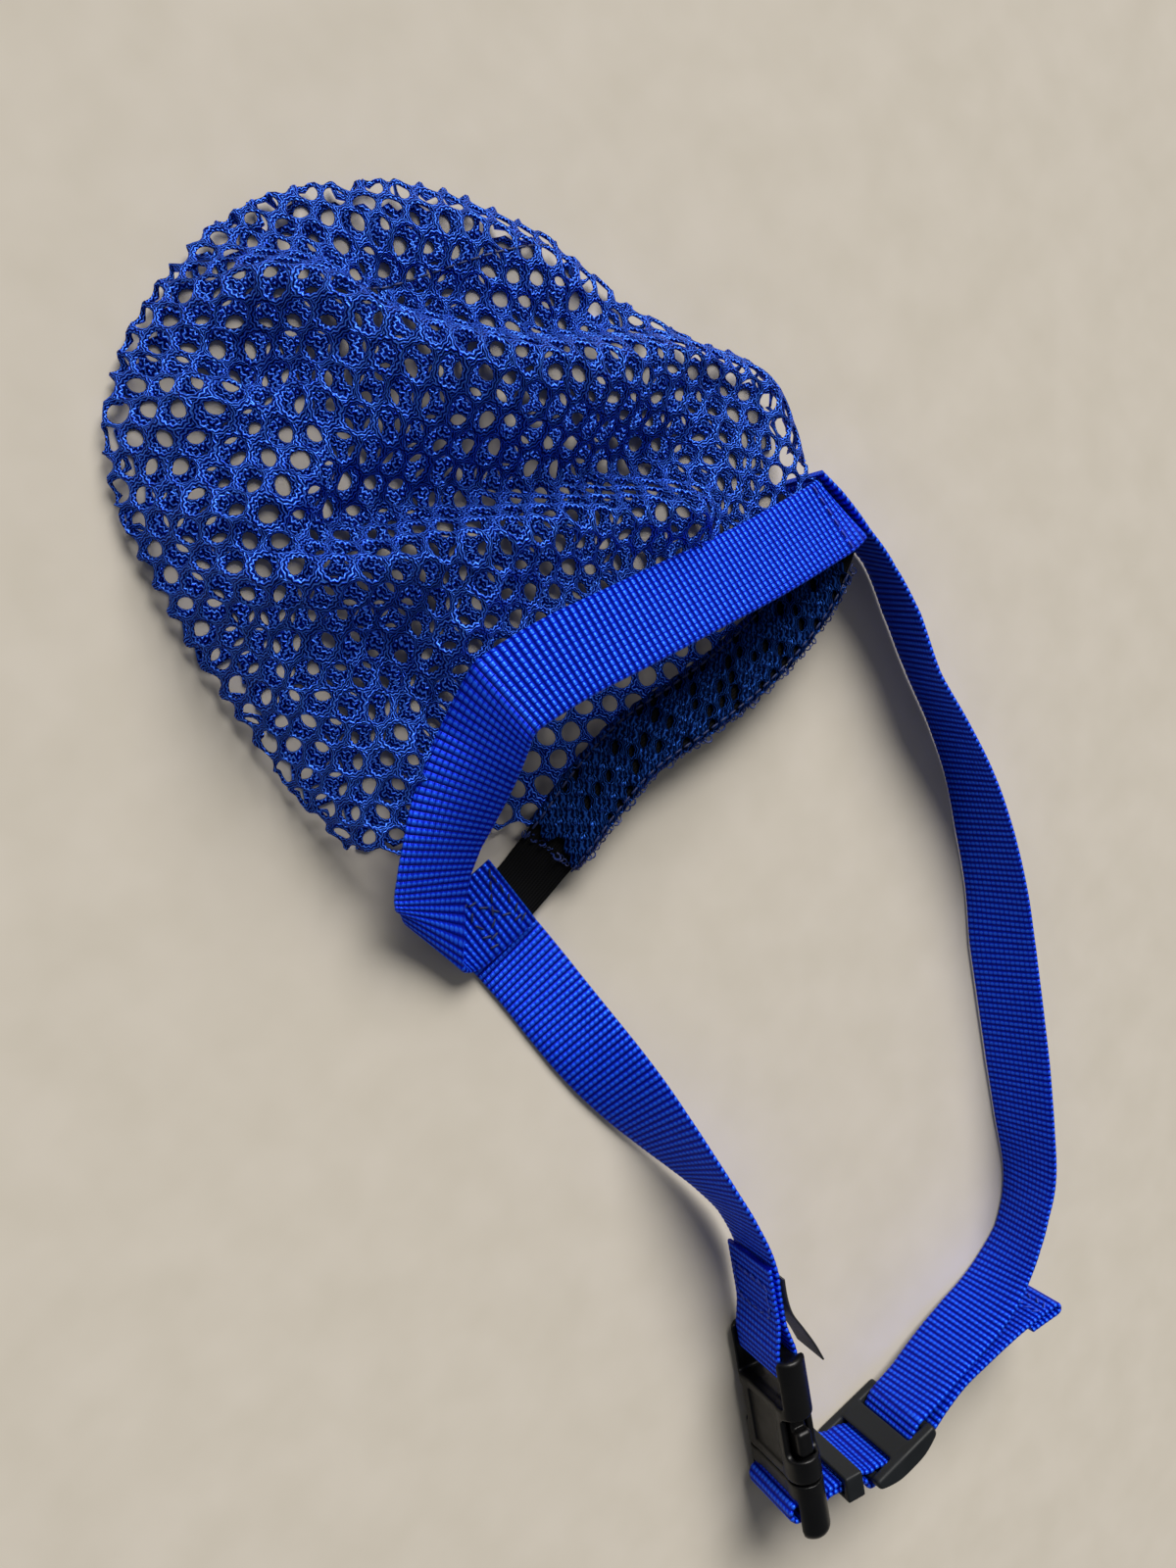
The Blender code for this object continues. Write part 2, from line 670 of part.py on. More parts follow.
def left_strap_strip():
    """Flat from under the left flap, twisting onto its edge, then round the socket's bar and back."""
    low = STRAP_LEVEL / MM
    tops = (
        (-43.0, 3.0, 0.0), (-43.4, -10.0, 0.0), (-44.6, -23.0, 0.0), (-46.0, -33.0, 4.0),
        (-47.4, -43.0, 12.0), (-48.6, -53.0, 23.0), (-49.6, -63.0, 37.0), (-50.6, -73.0, 52.0),
        (-51.6, -84.0, 66.0), (-52.6, -95.0, 78.0), (-54.2, -106.0, 87.0),
    )
    points = []
    hints = []
    for x, y, tilt in tops:
        turn = math.radians(tilt)
        edge = math.sin(turn) * WEBBING_WIDTH / 2
        share = tilt / 90.0
        level = low * MM * (1 - share) + (NECK_HEIGHT - WEBBING_WIDTH / 2) * share ** 3
        points.append(lift(place(x, y), max(level, STRAP_LEVEL * math.cos(turn) + FLOOR_GAP * share) + edge))
        hints.append(Vector((math.cos(turn), 0.0, math.sin(turn))))
    turn_place = SOCKET_BAR_LENGTH - FIT_GAP
    run_in = ((-0.024, HALF_LAYER), (-0.016, HALF_LAYER), (-0.008, HALF_LAYER * 1.1), (-0.004, BAR_TURN * 0.7))
    run_in += ((-0.0005, BAR_TURN), (turn_place / 2, BAR_TURN))
    main = [on_buckle(a, b) for a, b in run_in]
    across = BUCKLE_FRAME.to_3x3() @ Vector((0.0, 0.0, 1.0))
    round_bar = arc(on_buckle(turn_place, 0.0), across, BUCKLE_ALONG, BAR_TURN, 0.0, 180.0, 7)
    back = [on_buckle(a, -b) for a, b in reversed(run_in[1:])]
    back.append(on_buckle(-LOOP_TURN_BACK, -HALF_LAYER))
    loop = main + round_bar + back
    points += loop
    hints += [UP] * len(loop)
    return strip_frames(smooth(points, 2), spread(hints, 2))


def right_strap_run():
    """Loop of the right strap on its edge, leaning in and out, from the right fold to the slider."""
    stations = (
        ((93.8, 16.0), (0.0, 0.0)), ((95.4, 8.0), (-0.06, 0.04)), ((97.2, -4.0), (-0.24, 0.12)),
        ((97.6, -17.0), (-0.30, 0.14)), ((94.0, -31.5), (-0.18, 0.13)), ((88.6, -47.5), (-0.24, 0.05)),
        ((85.0, -64.5), (-0.13, 0.04)), ((80.2, -81.0), (0.0, 0.0)), ((73.0, -96.6), (0.15, -0.09)),
        ((64.6, -112.0), (0.22, -0.16)), ((55.0, -126.2), (0.34, -0.25)), ((45.2, -140.8), (0.34, -0.21)),
        ((35.0, -155.8), (0.29, -0.21)), ((24.6, -170.3), (0.22, -0.08)), ((14.5, -183.8), (0.10, 0.05)),
        ((6.8, -190.0), (0.05, 0.14)), ((-1.5, -194.4), (0.0, 0.12)), ((-10.5, -196.6), (0.0, 0.0)),
        ((-19.5, -196.8), (0.0, -0.10)), ((-29.0, -195.4), (0.0, -0.18)), ((-38.5, -193.2), (0.0, -0.14)),
        ((-47.0, -191.4), (0.0, -0.07)), ((-53.5, -190.2), (0.0, -0.03)),
    )
    points = []
    hints = []
    for i, ((x, y), (lean_x, lean_y)) in enumerate(stations):
        hint = Vector((lean_x, lean_y, 1.0)).normalized()
        slope = math.sqrt(1 - hint.z ** 2)
        low = FLOOR_GAP + hint.z * WEBBING_WIDTH / 2 + slope * WEBBING_THICKNESS / 2
        lifted = max(0.0, (i - len(stations) + 6) / 6)
        points.append(lift(place(x, y), low + (NECK_HEIGHT - STRAP_HEIGHT) * lifted))
        hints.append(hint)
    return points, hints


def right_strap_loop():
    """Through slider and keeper, round the plug's bar and back through the keeper."""
    points = []
    for i in range(-8, 9):
        along = SLIDER_PITCH * i / 8
        points.append(on_slider(along, WEAVE * math.cos(math.pi * along / SLIDER_PITCH)))
    half = KEEPER_LENGTH / 2
    stops = (KEEPER_SPACING + half, KEEPER_SPACING, KEEPER_SPACING - half)
    points += [on_buckle(KEEPER_PLACE - HALF_LAYER, stop) for stop in stops]
    turn_level = FIT_GAP - BAR_THICKNESS / 2 - PLUG_LOOP_SLACK
    across = BUCKLE_FRAME.to_3x3() @ Vector((0.0, 0.0, -1.0))
    points.append(on_buckle(PLUG_BAR - PLUG_TURN, BUCKLE_THICKNESS * 0.45))
    points += arc(on_buckle(PLUG_BAR, turn_level), -BUCKLE_ALONG, across, PLUG_TURN, 0.0, 180.0, 7)
    points.append(on_buckle(PLUG_BAR + PLUG_TURN, BUCKLE_THICKNESS * 0.35))
    points += [on_buckle(KEEPER_PLACE + HALF_LAYER, stop) for stop in reversed(stops)]
    return points


def tail_points():
    """Free end of the right strap: behind the slider, then out to its turned-over tip."""
    behind = WEAVE + LAYER_STEP
    end = SLIDER_LENGTH / 2
    edge = SLIDER_BAR_THICKNESS / 2
    clear = WEBBING_THICKNESS / 2 + STRAP_GAP
    points = [on_slider(end + clear * 1.1, -edge / 4), on_slider(end + clear * 1.05, edge)]
    points += [on_slider(end + clear * 0.75, edge + clear * 0.75), on_slider(end - clear / 2, edge + clear * 1.1)]
    points += [on_slider(SLIDER_PITCH / 2, behind * 0.95), on_slider(0.0, behind * 1.03)]
    points.append(on_slider(-SLIDER_PITCH, behind))
    run = ((-54.0, -193.8), (-46.0, -195.0), (-37.0, -198.0), (-26.0, -202.0), (-16.5, -206.2), (-10.5, -209.2))
    level_from = len(run) - 2
    heights = [NECK_HEIGHT - TAIL_DROP * min(i, level_from) for i in range(len(run))]
    tail = [lift(place(*point), height) for point, height in zip(run, heights)]
    along = (tail[-1] - tail[-2]).normalized()
    out = along.cross(UP)
    tail.insert(-1, tail[-1] - along * TAIL_LEAD)
    turn = arc(tail[-1] + out * TAIL_TURN, -out, along, TAIL_TURN, 0.0, 180.0, 5)
    returned = [turn[-1] - along * reach for reach in (TAIL_LEAD, TAIL_RETURN)]
    return points + tail + turn[1:] + returned, tail


def build_neck_strap(webbing, cloth, sewing, pivot, plug):
    left = left_strap_strip()
    strap("left_strap", left, WEBBING_WIDTH, WEBBING_THICKNESS, webbing, pivot)
    points, hints = right_strap_run()
    tail, tip = tail_points()
    route = points + right_strap_loop() + tail
    hints += [UP] * (len(route) - len(hints))
    right = strip_frames(smooth(route, 2), spread(hints, 2))
    strap("right_strap", right, WEBBING_WIDTH, WEBBING_THICKNESS, webbing, pivot)

    outside = HALF_LAYER + WEBBING_THICKNESS / 2 + THREAD_LIFT
    side = WEBBING_WIDTH / 2 - STITCH_MARGIN
    corners = ((-1, -0.019), (1, -0.019), (1, -0.010), (-1, -0.010), (-1, -0.0175))
    box = [on_buckle(along, -outside, up * side) for up, along in corners]
    thread("socket_loop_thread", box, sewing, pivot)

    tip_strip = strip_frames(tip, [UP] * len(tip))
    lengths = strip_lengths(tip_strip)
    stitch = []
    for back, shares in ((0.0065, (-0.38, 0.38)), (0.0025, (0.38, -0.38))):
        centre, across, out = strip_at(tip_strip, lengths, lengths[-1] - back)
        lifted = centre - out * (WEBBING_THICKNESS / 2 + THREAD_LIFT)
        stitch += [lifted + across * (share * WEBBING_WIDTH) for share in shares]
    thread("tail_thread", stitch, sewing, plug)

    inside = HALF_LAYER + WEBBING_THICKNESS / 2 + FIT_GAP + TAG_THICKNESS / 2
    route = ((-0.021, 0.0), (-0.016, 0.0), (-0.011, 0.0008), (-0.006, 0.0032), (0.0, 0.0060), (0.005, 0.0078))
    level = WEBBING_WIDTH / 2 - TAG_HEIGHT / 2 + 0.0010
    tag = smooth([on_buckle(along, inside + flare, level) for along, flare in route], 2)
    strap("blank_tag", strip_frames(tag, [UP] * len(tag)), TAG_HEIGHT, TAG_THICKNESS, cloth, pivot)


def build_socket(plastic, pivot):
    half = BUCKLE_WIDTH / 2
    face = BUCKLE_THICKNESS / 2
    clear = BUCKLE_THICKNESS
    web = STRAP_OPENING / 2
    frame = BUCKLE_FRAME
    socket = block("buckle_socket", (-half, 0.0, -face), (half, SOCKET_LENGTH, face), frame, plastic, pivot)
    round_edges(socket, BUCKLE_EDGE)
    bar = BAR_THICKNESS / 2
    low = (-web, SOCKET_BAR_LENGTH, -clear)
    opening(socket, "web_slot", low, (web, SOCKET_SLOT_END, clear), frame, plastic)
    for side, name in ((1, "inner"), (-1, "outer")):
        levels = sorted((side * bar, side * clear))
        low = (-web, -clear, levels[0])
        opening(socket, f"{name}_recess", low, (web, SOCKET_SLOT_END, levels[1]), frame, plastic)
    room = half - SOCKET_SIDE_WALL
    tall = CAVITY_HEIGHT / 2
    high = (room, SOCKET_LENGTH + clear, tall)
    opening(socket, "cavity", (-room, CAVITY_START, -tall), high, frame, plastic)
    tall = WINDOW_HEIGHT / 2
    high = (half + clear, WINDOW_END, tall)
    opening(socket, "windows", (-half - clear, WINDOW_START, -tall), high, frame, plastic)


def build_plug(plastic, pivot):
    half = BUCKLE_WIDTH / 2
    face = PLUG_THICKNESS / 2
    clear = BUCKLE_THICKNESS
    web = STRAP_OPENING / 2
    frame = BUCKLE_FRAME
    plug = block("buckle_plug", (-half, PLUG_START, -face), (half, PLUG_END, face), frame, plastic, pivot)
    round_edges(plug, BUCKLE_EDGE)
    low = (-web, PLUG_START + PLUG_WALL, -clear)
    opening(plug, "plug_slot", low, (web, PLUG_END + clear, clear), frame, plastic)
    bar = BAR_THICKNESS / 2
    reach = web + POST_WIDTH / 2
    low = (-reach, PLUG_BAR - PLUG_BAR_WIDTH / 2, -bar)
    rod = block("plug_bar", low, (reach, PLUG_BAR + PLUG_BAR_WIDTH / 2, bar), frame, plastic, pivot)
    combine(plug, rod, "UNION")
    wide = TONGUE_WIDTH / 2
    thick = TONGUE_THICKNESS / 2
    low = (-wide, PLUG_START - TONGUE_LENGTH, -thick)
    tongue = block("plug_tongue", low, (wide, PLUG_START + PLUG_WALL / 2, thick), frame, plastic, pivot)
    combine(plug, tongue, "UNION")
    return plug


def build_arm(name, side, plastic, plug):
    """Springy arm with its barb, hinged at its root on the plug."""
    inner = -ARM_WIDTH / 2
    outer = ARM_WIDTH / 2
    root = PLUG_START - FIT_GAP
    shoulder = WINDOW_END - BARB_CLEARANCE - root
    tip = -ARM_LENGTH
    outline = [
        (0.0, inner), (0.0, outer), (shoulder, outer), (shoulder, outer + BARB_REACH),
        (shoulder * 1.6, outer + BARB_REACH), (tip, outer - 0.0004), (tip, inner + 0.0005),
        (tip * 0.8, inner),
    ]
    thick = ARM_THICKNESS / 2
    rings = []
    for level in (-thick, thick):
        rings.append([Vector((side * x, y, level)) for y, x in outline])
    arm = loft(name, rings, plastic, plug)
    arm.matrix_world = BUCKLE_FRAME @ Matrix.Translation((side * ARM_OFFSET, root, 0.0))
    return arm


def build_slider(plastic, plug):
    half = SLIDER_WIDTH / 2
    end = SLIDER_LENGTH / 2
    web = STRAP_OPENING / 2
    thin = SLIDER_BAR_THICKNESS / 2
    reach = web + SLIDER_POST / 2
    frame = SLIDER_FRAME
    slider = block("slider", (-reach, -end, -thin), (reach, end, thin), frame, plastic, plug)
    clear = SLIDER_WIDTH
    middle = SLIDER_MIDDLE_BAR / 2
    far = end - SLIDER_END_BAR
    for side, name in ((1, "near"), (-1, "far")):
        edges = sorted((side * middle, side * far))
        low = (-web, edges[0], -clear)
        opening(slider, f"{name}_slot", low, (web, edges[1], clear), frame, plastic)
    arch = [(-end, -SLIDER_FRONT), (end, -SLIDER_FRONT)]
    for i in range(9):
        share = 1 - i / 4
        level = SLIDER_ARCH_END + (SLIDER_ARCH - SLIDER_ARCH_END) * (1 - share ** 2)
        arch.append((end * share, level))
    for low, high, name in ((web, half, "upper"), (-half, -web, "lower")):
        post = prism(f"slider_{name}_post", arch, low, high, frame, plastic, plug)
        combine(slider, post, "UNION")


def build_keeper(plastic, plug):
    tall = STRAP_OPENING / 2 + KEEPER_WALL
    thick = KEEPER_OPENING / 2 + KEEPER_SIDE
    half = KEEPER_LENGTH / 2
    frame = Matrix.Translation(on_buckle(KEEPER_PLACE, KEEPER_SPACING)) @ BUCKLE_FRAME.to_3x3().to_4x4()
    keeper = block("strap_keeper", (-tall, -thick, -half), (tall, thick, half), frame, plastic, plug)
    round_edges(keeper, KEEPER_WALL / 5)
    low = (-STRAP_OPENING / 2, -KEEPER_OPENING / 2, -KEEPER_LENGTH)
    high = (STRAP_OPENING / 2, KEEPER_OPENING / 2, KEEPER_LENGTH)
    opening(keeper, "keeper_opening", low, high, frame, plastic)


def main():
    for old in list(bpy.data.objects):
        bpy.data.objects.remove(old)
    webbing = make_material("blue_webbing", (0.012, 0.060, 0.680), 0.55)
    mesh = make_material("blue_mesh", (0.025, 0.085, 0.480), 0.60)
    elastic = make_material("black_elastic", (0.006, 0.006, 0.007), 0.75)
    plastic = make_material("black_plastic", (0.010, 0.010, 0.012), 0.38)
    cloth = make_material("black_tag_cloth", (0.008, 0.008, 0.009), 0.80)
    sewing = make_material("blue_thread", (0.012, 0.045, 0.420), 0.60)
    build_bag(webbing, elastic, mesh, sewing)
    pivot = add_pivot("neck_strap_pivot", place(27.0, -9.5, 6.5))
    plug = build_plug(plastic, pivot)
    build_socket(plastic, pivot)
    build_neck_strap(webbing, cloth, sewing, pivot, plug)
    build_arm("upper_release_arm", 1, plastic, plug)
    build_arm("lower_release_arm", -1, plastic, plug)
    build_slider(plastic, plug)
    build_keeper(plastic, plug)


main()
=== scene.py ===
"""Dressed mesh muzzle: knitted pouch, webbing nose band, elastic chin hem and buckled neck strap."""

import math

import bmesh
import bpy
import numpy as np
from mathutils import Matrix, Vector, noise
from mathutils.bvhtree import BVHTree


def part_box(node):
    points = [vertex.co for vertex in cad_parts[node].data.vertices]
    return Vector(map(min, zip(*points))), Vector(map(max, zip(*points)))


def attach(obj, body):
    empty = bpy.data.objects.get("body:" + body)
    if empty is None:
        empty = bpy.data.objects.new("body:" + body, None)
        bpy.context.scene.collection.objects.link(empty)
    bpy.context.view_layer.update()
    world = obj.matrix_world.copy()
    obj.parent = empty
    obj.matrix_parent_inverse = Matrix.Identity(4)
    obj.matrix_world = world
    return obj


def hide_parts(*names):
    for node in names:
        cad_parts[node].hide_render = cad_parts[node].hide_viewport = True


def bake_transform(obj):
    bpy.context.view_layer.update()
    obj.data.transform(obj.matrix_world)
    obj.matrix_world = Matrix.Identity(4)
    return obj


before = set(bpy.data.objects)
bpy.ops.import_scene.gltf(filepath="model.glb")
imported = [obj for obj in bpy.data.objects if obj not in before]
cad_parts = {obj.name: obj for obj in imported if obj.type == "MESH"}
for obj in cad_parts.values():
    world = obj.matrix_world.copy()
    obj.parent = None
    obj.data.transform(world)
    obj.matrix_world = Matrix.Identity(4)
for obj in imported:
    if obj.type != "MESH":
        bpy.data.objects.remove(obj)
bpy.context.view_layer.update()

# Sizes shared with the solids, in metres
WEBBING_WIDTH = 0.0200
WEBBING_THICKNESS = 0.0014
ELASTIC_WIDTH = 0.0150
ELASTIC_THICKNESS = 0.0010
TAG_HEIGHT = 0.0120
TAG_THICKNESS = 0.0005
FIT_GAP = 0.0003
LAYER_GAP = 0.0004
STRAP_GAP = 0.0004
FLOOR_GAP = 0.0004
PANEL_THICKNESS = 0.0008
CASING_WALL = 0.0008
CASING_START = 0.0300
CASING_STOP = 0.0110
HEM_RUN_OUT = 0.0030
BAND_OVERLAP = 0.0060
BAND_RUN_OUT = 0.0020
SEAM_HEIGHT = 0.0015
SLACK_SPAN = 0.0700
POUCH_CROWN = 0.0060
BUCKLE_THICKNESS = 0.0100
BUCKLE_WIDTH = 0.0270
SOCKET_LENGTH = 0.0350
SOCKET_BAR_LENGTH = 0.0050
SOCKET_SLOT_END = 0.0135
SOCKET_SIDE_WALL = 0.0021
CAVITY_START = 0.0155
CAVITY_HEIGHT = 0.0058
TONGUE_WIDTH = 0.0060
TONGUE_LENGTH = 0.0150
ARM_WIDTH = 0.0030
ARM_OFFSET = 0.0084
ARM_LENGTH = 0.0172
ARM_THICKNESS = 0.0046
BARB_REACH = 0.0027
BAR_THICKNESS = 0.0032
WINDOW_START = 0.0165
WINDOW_END = 0.0280
PLUG_LENGTH = 0.0165
PLUG_THICKNESS = 0.0096
PLUG_WALL = 0.0047
PLUG_BAR_WIDTH = 0.0032
PLUG_LOOP_SLACK = 0.0024
PLUG_LOOP_IN = 0.0020
PLUG_LOOP_OUT = 0.0016
SLIDER_LENGTH = 0.0220
SLIDER_POST = 0.0031
SLIDER_BAR_THICKNESS = 0.0020
SLIDER_END_BAR = 0.0026
SLIDER_MIDDLE_BAR = 0.0030
SLIDER_FRONT = 0.0016
SLIDER_ARCH = 0.0042
SLIDER_ARCH_END = 0.0010
KEEPER_LENGTH = 0.0056
KEEPER_WALL = 0.0020
KEEPER_SIDE = 0.0016
KEEPER_SPACING = 0.0126
KEEPER_TRAVEL = 0.0043
KEEPER_SETBACK = 0.0006
TAIL_TURN = 0.9 * WEBBING_THICKNESS
TAIL_DROP = 0.0004
TAIL_LEAD = 0.0020
TAIL_RETURN = 0.0100
LAYER_STEP = WEBBING_THICKNESS + LAYER_GAP
HALF_LAYER = LAYER_STEP / 2
STRAP_OPENING = WEBBING_WIDTH + 2 * STRAP_GAP
NECK_HEIGHT = FLOOR_GAP + BUCKLE_WIDTH / 2
STRAP_HEIGHT = FLOOR_GAP + WEBBING_WIDTH / 2
BAR_TURN = BAR_THICKNESS / 2 + FIT_GAP + WEBBING_THICKNESS / 2
PLUG_START = SOCKET_LENGTH + FIT_GAP
PLUG_END = PLUG_START + PLUG_LENGTH
PLUG_BAR = PLUG_START + PLUG_WALL + 2 * FIT_GAP + WEBBING_THICKNESS + PLUG_BAR_WIDTH / 2
PLUG_TURN = PLUG_BAR_WIDTH / 2 + FIT_GAP + WEBBING_THICKNESS / 2
KEEPER_OPENING = 2 * WEBBING_THICKNESS + LAYER_GAP + 2 * STRAP_GAP
KEEPER_PLACE = PLUG_BAR - KEEPER_SETBACK
SLIDER_WIDTH = STRAP_OPENING + 2 * SLIDER_POST
SLIDER_PITCH = (SLIDER_LENGTH - SLIDER_END_BAR) / 2
WEAVE = SLIDER_BAR_THICKNESS / 2 + FIT_GAP + WEBBING_THICKNESS / 2
STRAP_LEVEL = FLOOR_GAP + WEBBING_THICKNESS / 2
ELASTIC_LEVEL = STRAP_LEVEL + WEBBING_THICKNESS / 2 + FIT_GAP + ELASTIC_THICKNESS / 2
FLAP_LEVEL = ELASTIC_LEVEL + ELASTIC_THICKNESS / 2 + FIT_GAP + WEBBING_THICKNESS / 2
HEM_WIDTH = ELASTIC_WIDTH + 2 * (FIT_GAP + CASING_WALL)
HEM_THICKNESS = ELASTIC_THICKNESS + 2 * (FIT_GAP + CASING_WALL)
MM = 0.001
FRAME_ORIGIN = Vector((0.0013, -0.0322, 0.0))
SOCKET_PLACE = (-71.9, -136.0)
BUCKLE_HEADING = math.radians(236.0)
SLIDER_TURN = math.radians(71.0)
SLIDER_SETBACK = 0.0008
SLIDER_SPACING = 0.01695
UP = Vector((0.0, 0.0, 1.0))

# Sizes of the knit, the weave and the sewing
KNIT_PITCH = 0.0064
KNIT_ROW = 0.0057
KNIT_SHEAR = -0.0012
KNIT_HALF_HOLE = (0.00232, 0.00244)
KNIT_CROWN = 0.00055
KNIT_HOLE_TURN = 0.4
LOWER_CROWN = 0.9 * KNIT_CROWN
STITCH_LENGTH = 0.0023
STITCH_GAP = 0.0007
THREAD_RADIUS = 0.00030
STITCH_INSET = 0.0025
STRIP_STEP = 0.0013
RIB_PITCH = 0.00172
RIB_DEPTH = 0.16
SELVEDGE_IN = 0.35
SELVEDGE_LEVEL = 0.75
CAP_SPREAD = 0.0004
CREASE_ANGLE = math.radians(60)


def place(x, y, z=0.0):
    """A point given in millimetres from the middle of the mouth, on the floor."""
    return Vector((x * MM, y * MM, z * MM)) - FRAME_ORIGIN


def lift(point, height):
    return Vector((point.x, point.y, height))


def heading_vector(angle):
    return Vector((math.cos(angle), math.sin(angle), 0.0))


def piece_frame(origin, along):
    """Frame with X up, Y along the strap and Z across its face."""
    across = UP.cross(along)
    turn = Matrix((UP, along, across)).transposed().to_4x4()
    return Matrix.Translation(origin) @ turn


BUCKLE_ALONG = heading_vector(BUCKLE_HEADING)
BUCKLE_FRAME = piece_frame(lift(place(*SOCKET_PLACE), NECK_HEIGHT), BUCKLE_ALONG)


def on_buckle(along, across, up=0.0):
    return BUCKLE_FRAME @ Vector((up, along, across))


SLIDER_ALONG = heading_vector(BUCKLE_HEADING - SLIDER_TURN)
SLIDER_MIDDLE = on_buckle(KEEPER_PLACE - SLIDER_SETBACK, KEEPER_SPACING + SLIDER_SPACING)
SLIDER_FRAME = piece_frame(SLIDER_MIDDLE, SLIDER_ALONG)


def on_slider(along, across, up=0.0):
    return SLIDER_FRAME @ Vector((up, along, across))


# Materials

# Real sizes of weaves, yarns and relief; a noise pattern is given by the size of its patches.
# Single filaments and plies are finer than the render shows, so they are drawn as the bundles they lie in.
MATH = "ShaderNodeMath"
NOISE = "ShaderNodeTexNoise"
RAMP = "ShaderNodeValToRGB"
WARP_PITCH = 0.00142
FINE_YARN = 0.00047
WEAVE_DEPTH = 0.00040
DYE_PATCH = MM / 0.70
KNIT_YARN = 0.00058
KNIT_ZIGZAG = 0.00065
KNIT_DEPTH = 0.00024
DRIFT_ROUND = 0.0008
DRIFT_ACROSS = 0.0003
STRAND_WANDER = MM / 0.33
STRAND_PATCH = MM / 0.52
ELASTIC_RIB = 0.00075
ELASTIC_THREAD = 0.00060
ELASTIC_DEPTH = 0.0002
MOULD_GRAIN = MM / 2.6
RUBBED_PATCH = MM / 0.16
TAG_WEFT = 0.0006
THREAD_PLY = MM / 1.6
FINE_DEPTH = 0.0001
FLOOR_SLUB = MM / 0.06


def srgb(code):
    """Linear colour of an sRGB hex value."""
    channels = [int(code[i:i + 2], 16) / 255 for i in (1, 3, 5)]
    linear = [c / 12.92 if c <= 0.04045 else ((c + 0.055) / 1.055) ** 2.4 for c in channels]
    return (*linear, 1.0)


def add_node(tree, kind, inputs=(), stops=(), **settings):
    """Adds a node with its options, its sockets' values or links and its ramp colours; gives its outputs."""
    made = tree.nodes.new(kind)
    for option, value in settings.items():
        setattr(made, option, value)
    for key, value in dict(inputs).items():
        if isinstance(value, bpy.types.NodeSocket):
            tree.links.new(value, made.inputs[key])
        else:
            made.inputs[key].default_value = value
    for i, (position, code) in enumerate(stops):
        elements = made.color_ramp.elements
        element = elements[i] if i < len(elements) else elements.new(position)
        element.position = position
        element.color = srgb(code)
    return made.outputs


def start_material(name, **sockets):
    """Principled material with its constant sockets set, its tree and its shader."""
    material = bpy.data.materials.new(name)
    material.use_nodes = True
    tree = material.node_tree
    shader = tree.nodes["Principled BSDF"]
    for socket, value in sockets.items():
        shader.inputs[socket.replace("_", " ")].default_value = value
    return material, tree, shader


def finish_material(tree, shader, colour, height, depth, strength=1.0):
    """Gives a material its colour and the relief of its surface."""
    bump = add_node(tree, "ShaderNodeBump", {"Height": height, "Distance": depth, "Strength": strength})
    tree.links.new(colour, shader.inputs["Base Color"])
    tree.links.new(bump["Normal"], shader.inputs["Normal"])


def wave(tree, value, pitch):
    """Cosine of a length with the given pitch, from 0 to 1."""
    turns = add_node(tree, MATH, {0: value, 1: 2 * math.pi / pitch}, operation="MULTIPLY")
    swing = add_node(tree, MATH, {0: turns[0]}, operation="COSINE")
    return add_node(tree, MATH, {0: swing[0], 1: 0.5, 2: 0.5}, operation="MULTIPLY_ADD")[0]


def polyester_webbing():
    """Woven polyester webbing: ribs across the strap every 1.7 mm, crossed by rows of warp crowns, each with
    a painted highlight, over deep blue gaps of painted shade and random dye patches. UV is in metres along
    and across the strap."""
    rib_sharpness = 0.45
    crown_sharpness = 0.5
    crown_share = 0.38
    fine_share = 0.10
    dye_share = 0.3
    material, tree, shader = start_material(
        "woven_polyester_webbing", Roughness=0.38, IOR=1.5, Specular_IOR_Level=0.5, Metallic=0.5,
        Specular_Tint=srgb("#86b4ff"),
    )
    uv = add_node(tree, "ShaderNodeUVMap", uv_map="strap_uv")
    along, across = add_node(tree, "ShaderNodeSeparateXYZ", {0: uv[0]})[:2]
    ribs = add_node(tree, MATH, {0: wave(tree, along, RIB_PITCH), 1: rib_sharpness}, operation="POWER")
    crowns = add_node(tree, MATH, {0: wave(tree, across, WARP_PITCH), 1: crown_sharpness}, operation="POWER")
    over_gaps = {0: crowns[0], 1: crown_share, 2: 1 - crown_share}
    raised = add_node(tree, MATH, over_gaps, operation="MULTIPLY_ADD")
    height = add_node(tree, MATH, {0: ribs[0], 1: raised[0]}, operation="MULTIPLY")
    fine = wave(tree, across, FINE_YARN)
    yarns = add_node(tree, MATH, {0: fine, 1: fine_share, 2: height[0]}, operation="MULTIPLY_ADD")
    where = add_node(tree, "ShaderNodeTexCoord")["Object"]
    patches = add_node(tree, NOISE, {"Vector": where, "Scale": 1 / DYE_PATCH, "Detail": 3.0})["Fac"]
    toned = add_node(tree, MATH, {0: patches, 1: dye_share, 2: yarns[0]}, operation="MULTIPLY_ADD")
    # Stops over the relief and dye patches: painted shade in the gaps, painted highlight on the crowns.
    blues = ((0.20, "#000584"), (0.62, "#0216b2"), (0.92, "#0936ea"), (1.0, "#2464ff"))
    colour = add_node(tree, RAMP, {0: toned[0]}, blues)
    finish_material(tree, shader, colour["Color"], yarns[0], WEAVE_DEPTH)
    return material


